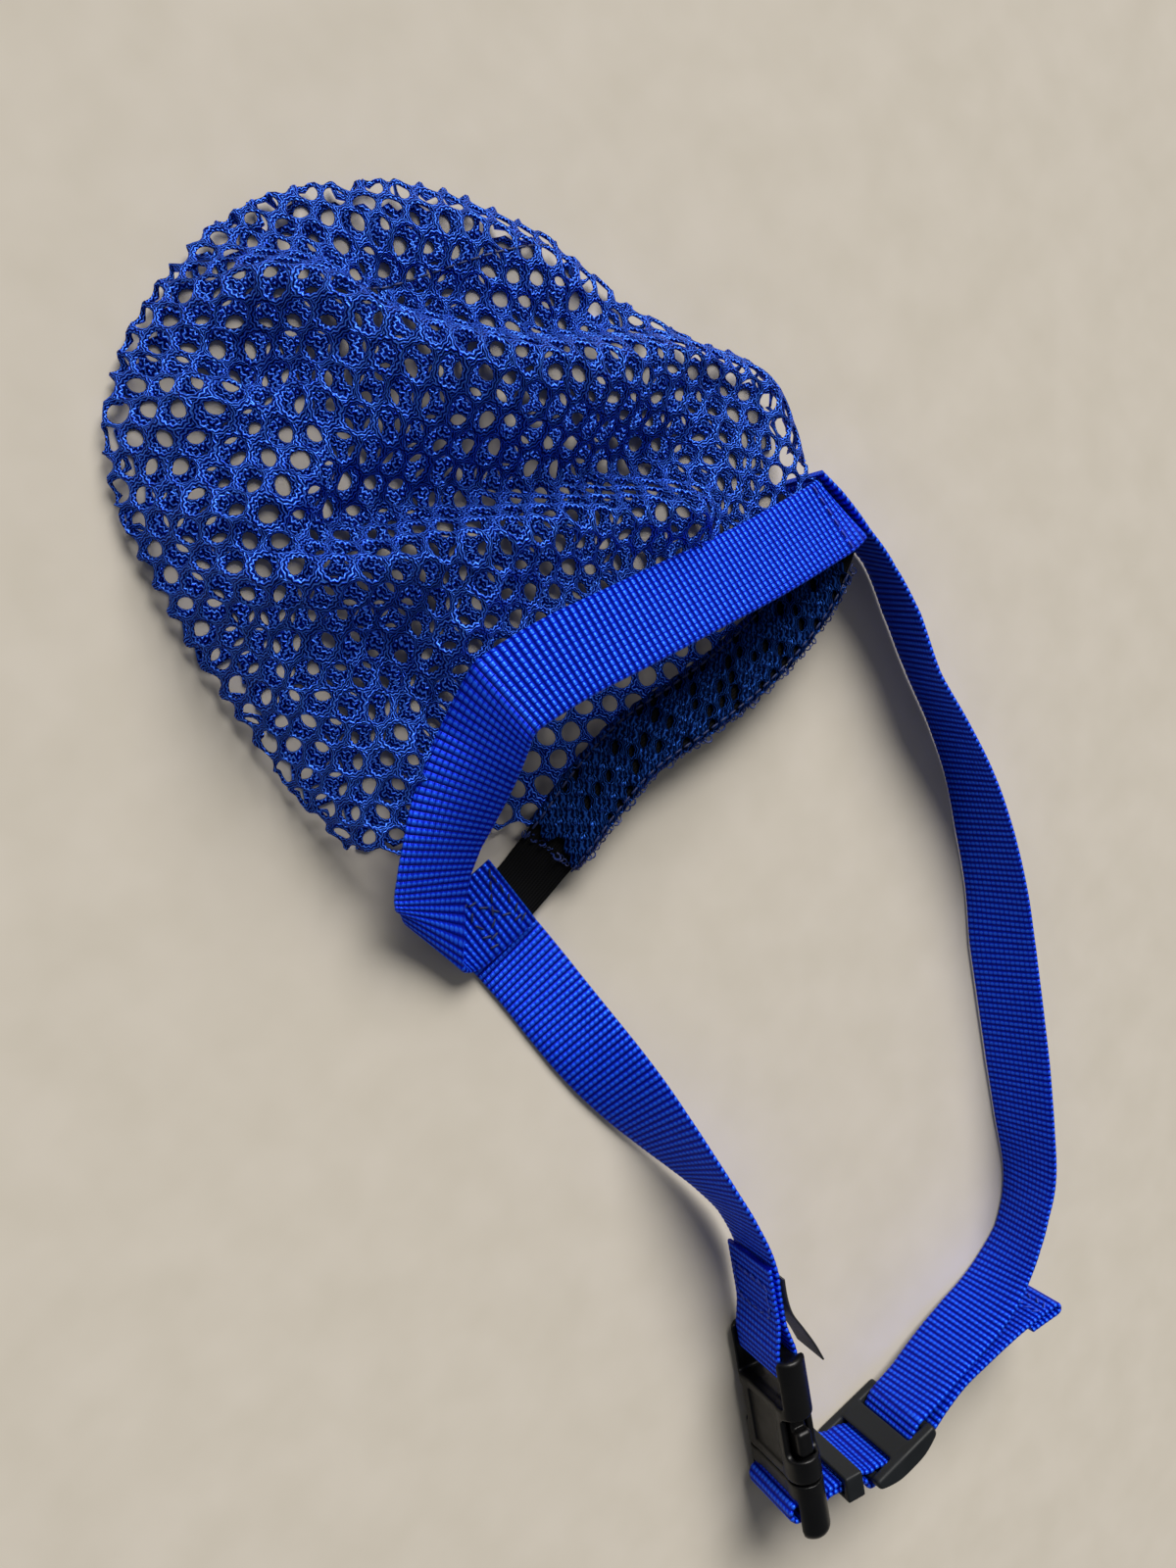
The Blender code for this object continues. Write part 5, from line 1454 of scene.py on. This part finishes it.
def yarn_loop():
    """Small open loop of cut yarn that stands out from a hem's edge."""
    sides = 5
    turns = 9
    points = []
    for t in range(turns):
        angle = math.radians(LOOP_START + LOOP_SWEEP * t / (turns - 1))
        spoke = Vector((math.cos(angle), -math.sin(angle), 0.0))
        middle = spoke * LOOP_REACH - Vector((0.0, LOOP_REACH * 0.7, 0.0))
        for k in range(sides):
            turn = 2 * math.pi * k / sides
            points.append(middle + LOOP_RADIUS * (math.cos(turn) * spoke + math.sin(turn) * UP))
    faces = [tuple(range(sides)), tuple(reversed(range((turns - 1) * sides, turns * sides)))]
    return mesh_object("yarn_loop", points, faces + ring_faces(turns, sides), FRAYED_YARN)


def fray_tree():
    """Tree that scatters loops of yarn along an edge, each turned and sized by chance."""
    inputs = (
        ("Geometry", "Geometry"), ("Loop", "Object"), ("Spacing", "Float"), ("Seed", "Int"),
        ("Yarn", "Material"),
    )
    tree, given = start_tree("frayed_edge", inputs)
    line = add_node(tree, "GeometryNodeMeshToCurve", {"Mesh": given["Geometry"]})
    spaced = {"Curve": line[0], "Length": given["Spacing"]}
    spots = add_node(tree, "GeometryNodeCurveToPoints", spaced, mode="LENGTH")
    swing = {0: [-most for most in FRAY_TURN], 1: FRAY_TURN, "Seed": given["Seed"]}
    turn = add_node(tree, "FunctionNodeRandomValue", swing, data_type="FLOAT_VECTOR")[0]
    range_of = {2: FRAY_SIZES[0], 3: FRAY_SIZES[1], "Seed": given["Seed"]}
    size = add_node(tree, "FunctionNodeRandomValue", range_of, data_type="FLOAT")[1]
    shape = add_node(tree, "GeometryNodeObjectInfo", {"Object": given["Loop"]})["Geometry"]
    scattered = {"Points": spots["Points"], "Instance": shape, "Rotation": turn, "Scale": size}
    frayed = add_node(tree, "GeometryNodeInstanceOnPoints", scattered)
    return finish_tree(tree, frayed[0], given["Yarn"])


def fray_hem(casing):
    """Cut yarn ends along the hem's free edge and across its left end."""
    half = HEM_WIDTH / 2 - FRAY_INSET
    end_centre, end_across, end_out = casing[0]
    path = [end_centre + end_across * (half * share) - end_out * HEM_THICKNESS * 0.3 for share in (-1, 0, 1)]
    path += [centre + across * half - out * HEM_THICKNESS * 0.2 for centre, across, out in casing]
    loop = yarn_loop()
    values = {"Loop": loop, "Spacing": FRAY_SPACING, "Seed": FRAY_SEED, "Yarn": FRAYED_YARN}
    loops = along_path("hem_frayed_loops", fray_tree(), path, FRAYED_YARN, **values)
    bpy.data.objects.remove(loop)
    return loops


# Scene

def settle(piece, body, slot, *nodes):
    """Sets a finished piece on its body in place of its solids."""
    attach(piece, body)
    if nodes:
        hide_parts(*nodes)
    return piece


def bend(piece, bodies, start, end, slot, *nodes):
    """Fixes a strap that crosses a joint where it lies and hides its solid in its place."""
    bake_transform(piece)
    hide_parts(*nodes)
    return piece


def build_bag():
    band = nose_band_strip(SURFACE_STEPS)
    hem = finer(hem_strip(8), STRIP_STEP)
    total = strip_lengths(hem)[-1]
    casing = pick(hem, CASING_START - CASING_LEAD, total - CASING_STOP + CASING_TRAIL, CASING_STATIONS)
    tree = knit_tree()
    upper, upper_field = build_upper_knit(tree, band)
    settle(upper, "bag", "mesh", "upper_panel")
    lower = settle(build_lower_knit(tree, hem), "bag", "mesh", "lower_panel")
    casing_knit = settle(build_hem(tree, casing), "bag", "mesh", "chin_hem")
    settle(webbing_strap("nose_band_webbing", band), "bag", "webbing", "nose_band")
    elastic = strap_mesh("chin_elastic_tape", hem, ELASTIC_WIDTH, ELASTIC_THICKNESS, ELASTIC, ribs=0.0)
    settle(elastic, "bag", "elastic", "chin_elastic")
    settle(fray_hem(casing), "bag", "mesh")
    sew_bag(band, casing, upper_field)


def hem_row(casing, side):
    """Sewing along one side of the hem, on its outer face."""
    aside = side * (ELASTIC_WIDTH / 2 - THREAD_RADIUS)
    cover = HEM_THICKNESS / 2 + THREAD_RADIUS / 2
    return [centre + across * aside - out * cover for centre, across, out in casing]


def under_band_row(band):
    """Sewing that holds the knit to the nose band, on the band's under face."""
    first = round(RIM_FIRST_STATION * SURFACE_STEPS) + 2
    last = round(RIM_LAST_STATION * SURFACE_STEPS) - 1
    cover = WEBBING_THICKNESS / 2 + FIT_GAP + PANEL_THICKNESS
    aside = WEBBING_WIDTH / 2 - BAND_OVERLAP
    return [centre - across * aside + out * cover for centre, across, out in band[first:last]]


def junction_cross(band):
    """Box and cross on the band's turned-back left end."""
    centre, across, out = strip_at(band, strip_lengths(band), CROSS_PLACE)
    along = across.cross(out) * CROSS_HALF_RUN
    rise = across * (WEBBING_WIDTH / 2 - STITCH_INSET)
    stops = ((-1, -1), (0, 0), (1, 1), (1, -1), (0, 0), (-1, 1), (-1, -0.75))
    return [centre + along * u + rise * v + out * THREAD_COVER for u, v in stops]


def fold_bar(band):
    """Bar of sewing across the band's right fold."""
    lengths = strip_lengths(band)
    centre, across, out = strip_at(band, lengths, lengths[-1] - FOLD_BAR_PLACE)
    return [centre + across * (side * ROW_REACH) - out * THREAD_COVER for side in (-1, 0, 1)]


def seam_row(upper_field):
    """Short seam on the pouch, laid on the folded knit."""
    low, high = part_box("pouch_seam_thread")
    ends = (Vector((low.x, high.y, high.z)), Vector((high.x, low.y, low.z)))
    seam = [ends[0].lerp(ends[1], k / SEAM_STEPS) for k in range(SEAM_STEPS + 1)]
    on_knit = sample(upper_field, plan_of(seam)) + KNIT_CROWN
    return [lift(point, float(height)) for point, height in zip(seam, on_knit)]


def loop_box():
    """Box of sewing that closes the loop round the socket's bar."""
    outside = HALF_LAYER + THREAD_COVER
    side = WEBBING_WIDTH / 2 - STITCH_INSET
    return [on_buckle(along, -outside, up * side) for up, along in LOOP_BOX]


def tail_rows():
    """Two rows of sewing across the tail's turned-over tip."""
    tip = tail_points()[1]
    strip = strip_frames(tip, [UP] * len(tip))
    lengths = strip_lengths(strip)
    rows = []
    for back, turn in TAIL_ROW_PLACES:
        centre, across, out = strip_at(strip, lengths, lengths[-1] - back)
        rows += [centre - out * THREAD_COVER + across * (side * ROW_REACH) for side in (-turn, turn)]
    return rows


def sew_bag(band, casing, upper_field):
    """Every row of sewing on the bag and its straps, stitch by stitch."""
    stitch = stitch_shape()
    tree = stitch_tree()

    def sewn(name, path, thread):
        spacing = STITCH_LENGTH + STITCH_GAP
        return along_path(name, tree, path, thread, Stitch=stitch, Spacing=spacing, Thread=thread)

    rows = (
        ("hem_stitches_inner", hem_row(casing, -1), DARK_THREAD, "bag", "hem_thread_inner"),
        ("hem_stitches_outer", hem_row(casing, 1), DARK_THREAD, "bag", "hem_thread_outer"),
        ("nose_band_stitches", under_band_row(band), BLUE_THREAD, "bag", "nose_band_thread"),
        ("left_junction_stitches", junction_cross(band), DARK_THREAD, "bag", "left_junction_thread"),
        ("right_junction_stitches", fold_bar(band), BLUE_THREAD, "bag", "right_junction_thread"),
        ("pouch_seam_stitches", seam_row(upper_field), DARK_THREAD, "bag", "pouch_seam_thread"),
        ("socket_loop_stitches", loop_box(), BLUE_THREAD, "neck_strap", "socket_loop_thread"),
    )
    for name, path, thread, body, node in rows:
        settle(sewn(name, path, thread), body, "thread", node)
    tail = sewn("tail_stitches", tail_rows(), BLUE_THREAD)
    bend(tail, ("plug", "slider"), *slack_ends(), "thread", "tail_thread")
    bpy.data.objects.remove(stitch)


def build_neck_strap():
    """Both straps, the right one cut into pieces where it crosses a joint, and the blank tag."""
    steps = 6
    left = webbing_strap("left_strap_webbing", left_strap_strip(steps))
    bend(left, ("bag", "neck_strap"), place(-44, -2), place(-44, -28), "webbing", "left_strap")
    points, hints = right_strap_run()
    route = points + right_strap_loop() + tail_points()[0]
    hints += [UP] * (len(route) - len(hints))
    strip = strip_frames(smooth(route, steps), spread(hints, steps))
    lengths = strip_lengths(strip)
    stations = (0, ROOT_STATION * steps, END_STATION * steps, len(strip) - 1)
    bends = (
        ("right_strap_root", ("bag", "neck_strap"), (place(95, 4), place(95, -26))),
        ("right_strap_webbing", ("neck_strap", "plug"), (place(16, -185), place(-44, -185))),
        ("right_strap_end", ("plug", "slider"), slack_ends()),
    )
    for first, last, (name, bodies, ends) in zip(stations, stations[1:], bends):
        piece = webbing_strap(name, strip[first:last + 1], lengths[first])
        bend(piece, bodies, *ends, "webbing", "right_strap")
    settle(blank_tag(), "neck_strap", "tag_cloth", "blank_tag")


def blank_tag():
    """Bare tape caught in the socket loop's sewing, flaring away from the strap."""
    inside_face = HALF_LAYER + WEBBING_THICKNESS / 2 + FIT_GAP + TAG_THICKNESS / 2
    level = WEBBING_WIDTH / 2 - TAG_HEIGHT / 2 + TAG_RAISE
    tag = smooth([on_buckle(along, inside_face + flare, level) for along, flare in TAG_ROUTE], 4)
    strip = finer(strip_frames(tag, [UP] * len(tag)), TAG_STEP)
    return strap_mesh("blank_tag_tape", strip, TAG_HEIGHT, TAG_THICKNESS, TAG, ribs=0.0)


# Moulded plastics

MOULD_STEP = 0.00035
MOULD_FILLET = 0.0006
EDGE_ROUND = 0.0006
THIN_ROUND = 0.0005
RAIL_ROUND = 0.0012
RAIL_INSET = 0.0001
POST_ROUND = 0.0030
SOCKET_FACE_STEP = 0.0005
PLUG_FACE_STEP = 0.0003
GROOVE_HALF = 0.0064
GROOVE_START = 0.0162
GROOVE_END = 0.0318
GROOVE_WIDTH = 0.0007
GROOVE_DEPTH = 0.0011
WINDOW_DEPTH = 0.0092
WINDOW_ROUND = 0.0015
ARM_ROUND = 0.0010
BARB_START = 0.0205
BARB_SETBACK = 0.0005
BARB_ROUND = 0.0012
SLIDER_COVER = 0.0034
SLIDER_COVER_DEPTH = -0.0003
SLIDER_ROUND = 0.0009
KEEPER_HOLE_ROUND = 0.0003
CLEAR = 0.0200


def box_field(place, low, high, edge=EDGE_ROUND):
    """Distance to a box with rounded edges, negative inside."""
    low = np.array(low)
    high = np.array(high)
    return rounded_field(np.abs(place - (low + high) / 2) - (high - low) / 2, edge)


def rail_field(place, side, start, end, radius, edge):
    """Distance to a round rail along a buckle with rounded ends, negative inside."""
    around = np.hypot(place[..., 0] - side, place[..., 2]) - radius
    lengthwise = np.abs(place[..., 1] - (start + end) / 2) - (end - start) / 2
    return rounded_field(np.stack([around, lengthwise], axis=-1), edge)


def rounded_field(outside, edge):
    outside = outside + edge
    return np.linalg.norm(np.maximum(outside, 0), axis=-1) + np.minimum(outside.max(axis=-1), 0) - edge


def merged(first, second):
    """Union of two shapes with a small fillet between them."""
    share = np.clip(0.5 + (second - first) / (2 * MOULD_FILLET), 0, 1)
    return second + (first - second) * share - MOULD_FILLET * share * (1 - share)


def cut(first, second):
    """First shape without the second, with rounded rims."""
    return -merged(-first, second)


def socket_shape(place):
    web = STRAP_OPENING / 2
    bar = BAR_THICKNESS / 2
    face = BUCKLE_THICKNESS / 2
    half = BUCKLE_WIDTH / 2
    rail = face - RAIL_INSET
    plate = face - SOCKET_FACE_STEP
    shape = box_field(place, (rail - half, SOCKET_SLOT_END, -plate), (half - rail, SOCKET_LENGTH, plate))
    for side in (-1, 1):
        shape = merged(shape, rail_field(place, side * (half - rail), 0.0, SOCKET_LENGTH, rail, RAIL_ROUND))
    slots = ((SOCKET_BAR_LENGTH, -CLEAR, CLEAR), (-CLEAR, bar, CLEAR), (-CLEAR, -CLEAR, -bar))
    for low, level, high in slots:
        shape = cut(shape, box_field(place, (-web, low, level), (web, SOCKET_SLOT_END, high)))
    shape = merged(shape, box_field(place, (-web - bar, 0.0, -bar), (web + bar, SOCKET_BAR_LENGTH, bar)))
    room = half - SOCKET_SIDE_WALL
    tall = CAVITY_HEIGHT / 2
    shape = cut(shape, box_field(place, (-room, CAVITY_START, -tall), (room, SOCKET_LENGTH + CLEAR, tall)))
    for low, high in ((WINDOW_DEPTH, CLEAR), (-CLEAR, -WINDOW_DEPTH)):
        window = box_field(place, (low, WINDOW_START, -CLEAR), (high, WINDOW_END, CLEAR), WINDOW_ROUND)
        shape = cut(shape, window)
    for low, high in ((face - GROOVE_DEPTH, CLEAR), (-CLEAR, GROOVE_DEPTH - face)):
        outer = box_field(place, (-GROOVE_HALF, GROOVE_START, low), (GROOVE_HALF, GROOVE_END, high), 0.0)
        groove = np.maximum(outer, -outer - GROOVE_WIDTH)
        shape = np.maximum(shape, -groove)
    return shape


def plug_shape(place):
    web = STRAP_OPENING / 2
    bar = BAR_THICKNESS / 2
    half = BUCKLE_WIDTH / 2
    rail = PLUG_THICKNESS / 2
    plate = rail - PLUG_FACE_STEP
    wall = PLUG_START + PLUG_WALL
    shape = box_field(place, (rail - half, PLUG_START, -plate), (half - rail, wall, plate))
    for side in (-1, 1):
        post = rail_field(place, side * (half - rail), PLUG_START - CLEAR, PLUG_END, rail, POST_ROUND)
        shape = merged(shape, np.maximum(post, PLUG_START - place[..., 1]))
    shape = cut(shape, box_field(place, (-web, wall, -CLEAR), (web, PLUG_END + CLEAR, CLEAR)))
    across = PLUG_BAR_WIDTH / 2
    reach = web + bar
    web_bar = box_field(place, (-reach, PLUG_BAR - across, -bar), (reach, PLUG_BAR + across, bar))
    wide = TONGUE_WIDTH / 2
    tongue = box_field(place, (-wide, PLUG_START - TONGUE_LENGTH, -bar), (wide, PLUG_START + bar, bar))
    return merged(merged(shape, web_bar), tongue)


def upper_arm_shape(place):
    thick = ARM_THICKNESS / 2
    inner = ARM_OFFSET - ARM_WIDTH / 2
    outer = ARM_OFFSET + ARM_WIDTH / 2
    root = PLUG_START - FIT_GAP
    spring = box_field(place, (inner, root - ARM_LENGTH, -thick), (outer, root, thick), ARM_ROUND)
    low = (outer - BARB_REACH, BARB_START, -thick)
    high = (outer + BARB_REACH, WINDOW_END - BARB_SETBACK, thick)
    return merged(spring, box_field(place, low, high, BARB_ROUND))


def lower_arm_shape(place):
    return upper_arm_shape(place * (-1, 1, 1))


def slider_shape(place):
    web = STRAP_OPENING / 2
    half = SLIDER_WIDTH / 2
    end = SLIDER_LENGTH / 2
    thin = SLIDER_BAR_THICKNESS / 2
    reach = web + thin
    rise = SLIDER_ARCH - SLIDER_ARCH_END
    round_back = (end ** 2 + rise ** 2) / (2 * rise)
    back = np.hypot(place[..., 1], place[..., 2] - SLIDER_ARCH + round_back) - round_back
    low = (-reach, -SLIDER_COVER, -SLIDER_FRONT)
    shape = box_field(place, low, (reach, SLIDER_COVER, SLIDER_COVER_DEPTH), THIN_ROUND)
    stops = (-end, -SLIDER_MIDDLE_BAR / 2, end - SLIDER_END_BAR)
    for start, length in zip(stops, (SLIDER_END_BAR, SLIDER_MIDDLE_BAR, SLIDER_END_BAR)):
        shape = merged(shape, box_field(place, (-reach, start, -thin), (reach, start + length, thin)))
    for low, high in ((web, half), (-half, -web)):
        post = box_field(place, (low, -end, -SLIDER_FRONT), (high, end, SLIDER_ARCH), SLIDER_ROUND)
        shape = merged(shape, cut(post, -back))
    return shape


def keeper_shape(place):
    web = STRAP_OPENING / 2
    gap = KEEPER_OPENING / 2
    tall = web + KEEPER_WALL
    thick = gap + KEEPER_SIDE
    near = KEEPER_SPACING - KEEPER_LENGTH / 2
    far = KEEPER_SPACING + KEEPER_LENGTH / 2
    low = (-tall, KEEPER_PLACE - thick, near)
    shape = box_field(place, low, (tall, KEEPER_PLACE + thick, far), THIN_ROUND)
    low = (-web, KEEPER_PLACE - gap, -CLEAR)
    return cut(shape, box_field(place, low, (web, KEEPER_PLACE + gap, 3 * CLEAR), KEEPER_HOLE_ROUND))


def moulding(name, shape, low, high, turn, finish):
    """Closed smooth skin where a shape's distance is zero, in the frame the piece lies in."""
    axes = [np.arange(a - 2 * MOULD_STEP, b + 3 * MOULD_STEP, MOULD_STEP) for a, b in zip(low, high)]
    field = shape(np.stack(np.meshgrid(*axes, indexing="ij"), axis=-1))
    cells = np.array(field.shape) - 1
    total = np.zeros((cells.prod(), 3))
    count = np.zeros(cells.prod())
    quads = []
    for axis in range(3):
        turned = np.moveaxis(field, axis, 0)
        first = turned[:-1]
        second = turned[1:]
        crossing = (first < 0) != (second < 0)
        edges = np.argwhere(crossing)
        share = first[crossing] / (first[crossing] - second[crossing])
        order = [axis] + [other for other in range(3) if other != axis]
        corner = np.empty_like(edges)
        corner[:, order] = edges
        spot = corner.astype(float)
        spot[:, axis] += share
        ring = []
        for step in ((0, 0), (-1, 0), (-1, -1), (0, -1)):
            cell = corner.copy()
            cell[:, order[1:]] += step
            index = np.ravel_multi_index(cell.T, cells)
            np.add.at(total, index, spot)
            np.add.at(count, index, 1)
            ring.append(index)
        ring = np.stack(ring, axis=1)
        flip = (first[crossing] < 0) == (axis == 1)
        quads.append(np.where(flip[:, None], ring[:, ::-1], ring))
    used = count > 0
    number = np.cumsum(used) - 1
    origin = np.array([axis[0] for axis in axes])
    points = total[used] / count[used][:, None] * MOULD_STEP + origin
    points = points @ np.array(turn.to_3x3()).T + np.array(turn.translation)
    return mesh_object(name, points, number[np.concatenate(quads)].tolist(), finish, keep_faces=True)


def build_plastics():
    """Buckle, slider and keeper: moulded shapes with the edges the mould leaves round."""
    half = BUCKLE_WIDTH / 2
    face = BUCKLE_THICKNESS / 2
    socket_low = (-half, 0.0, -face)
    socket_high = (half, SOCKET_LENGTH, face)
    tongue_low = (-half, PLUG_START - TONGUE_LENGTH, -face)
    arm_low = (-half, PLUG_START - FIT_GAP - ARM_LENGTH, -face)
    arm_high = (half, PLUG_START, face)
    buckle = (
        ("socket", socket_shape, socket_low, socket_high, "neck_strap", "buckle_socket"),
        ("plug", plug_shape, tongue_low, (half, PLUG_END, face), "plug", "buckle_plug"),
        ("upper_arm", upper_arm_shape, arm_low, arm_high, "upper_arm", "upper_release_arm"),
        ("lower_arm", lower_arm_shape, arm_low, arm_high, "lower_arm", "lower_release_arm"),
    )
    for name, shape, low, high, body, node in buckle:
        made = moulding(f"{name}_moulding", shape, low, high, BUCKLE_FRAME, BUCKLE_ACETAL)
        settle(made, body, "plastic", node)
    half = SLIDER_WIDTH / 2
    end = SLIDER_LENGTH / 2
    low = (-half, -end, -SLIDER_FRONT)
    high = (half, end, SLIDER_ARCH)
    slider = moulding("slider_moulding", slider_shape, low, high, SLIDER_FRAME, SLIDER_ACETAL)
    settle(slider, "slider", "plastic", "slider")
    tall = STRAP_OPENING / 2 + KEEPER_WALL
    thick = KEEPER_OPENING / 2 + KEEPER_SIDE
    low = (-tall, KEEPER_PLACE - thick, KEEPER_SPACING - KEEPER_LENGTH / 2)
    high = (tall, KEEPER_PLACE + thick, KEEPER_SPACING + KEEPER_LENGTH / 2)
    keeper = moulding("keeper_moulding", keeper_shape, low, high, BUCKLE_FRAME, SLIDER_ACETAL)
    settle(keeper, "keeper", "plastic", "strap_keeper")


# Stage

LAMP_ANGLE = math.radians(36.0)
LAMP_ENERGY = 4.6
LAMP_COLOUR = (1.0, 0.97, 0.93)
LAMP_PLACE = Vector((0.85, 0.70, 0.88))
WORLD_COLOUR = (0.95, 0.97, 1.0, 1.0)
WORLD_STRENGTH = 0.16
CAMERA_LENS = 28.125
CAMERA_SENSOR = 36.0
CAMERA_CLIP = (0.01, 20.0)
CAMERA_PLACE = Vector((-0.07775, 0.13984, 0.27605))
CAMERA_RIGHT = Vector((0.6396, -0.6396, 0.4265))
CAMERA_UP = Vector((0.7270, 0.6836, -0.0652))
CAMERA_FORWARD = Vector((0.2498, -0.3518, -0.9021))
FLOOR_REACH = 3


def build_stage():
    """Pale floor, one wide soft light from the right, even surroundings and the camera."""
    corners = [(x * FLOOR_REACH, y * FLOOR_REACH, 0) for x, y in ((-1, -1), (1, -1), (1, 1), (-1, 1))]
    mesh_object("floor", corners, [(0, 1, 2, 3)], pale_floor())
    lamp = bpy.data.lights.new("window_light", "SUN")
    lamp.angle = LAMP_ANGLE
    lamp.energy = LAMP_ENERGY
    lamp.color = LAMP_COLOUR
    turn = LAMP_PLACE.to_track_quat("Z", "Y").to_matrix().to_4x4()
    link_object("window_light", lamp).matrix_world = Matrix.Translation(LAMP_PLACE) @ turn
    world = bpy.data.worlds.new("even_light")
    world.use_nodes = True
    background = world.node_tree.nodes["Background"].inputs
    background["Color"].default_value = WORLD_COLOUR
    background["Strength"].default_value = WORLD_STRENGTH
    scene = bpy.context.scene
    scene.world = world
    lens = bpy.data.cameras.new("camera")
    lens.lens = CAMERA_LENS
    lens.sensor_width = CAMERA_SENSOR
    lens.clip_start, lens.clip_end = CAMERA_CLIP
    camera = link_object("camera", lens)
    turn = Matrix((CAMERA_RIGHT, CAMERA_UP, -CAMERA_FORWARD)).transposed().to_4x4()
    camera.matrix_world = Matrix.Translation(CAMERA_PLACE) @ turn
    scene.camera = camera
    scene.view_settings.view_transform = "Standard"


build_stage()
build_bag()
build_neck_strap()
build_plastics()
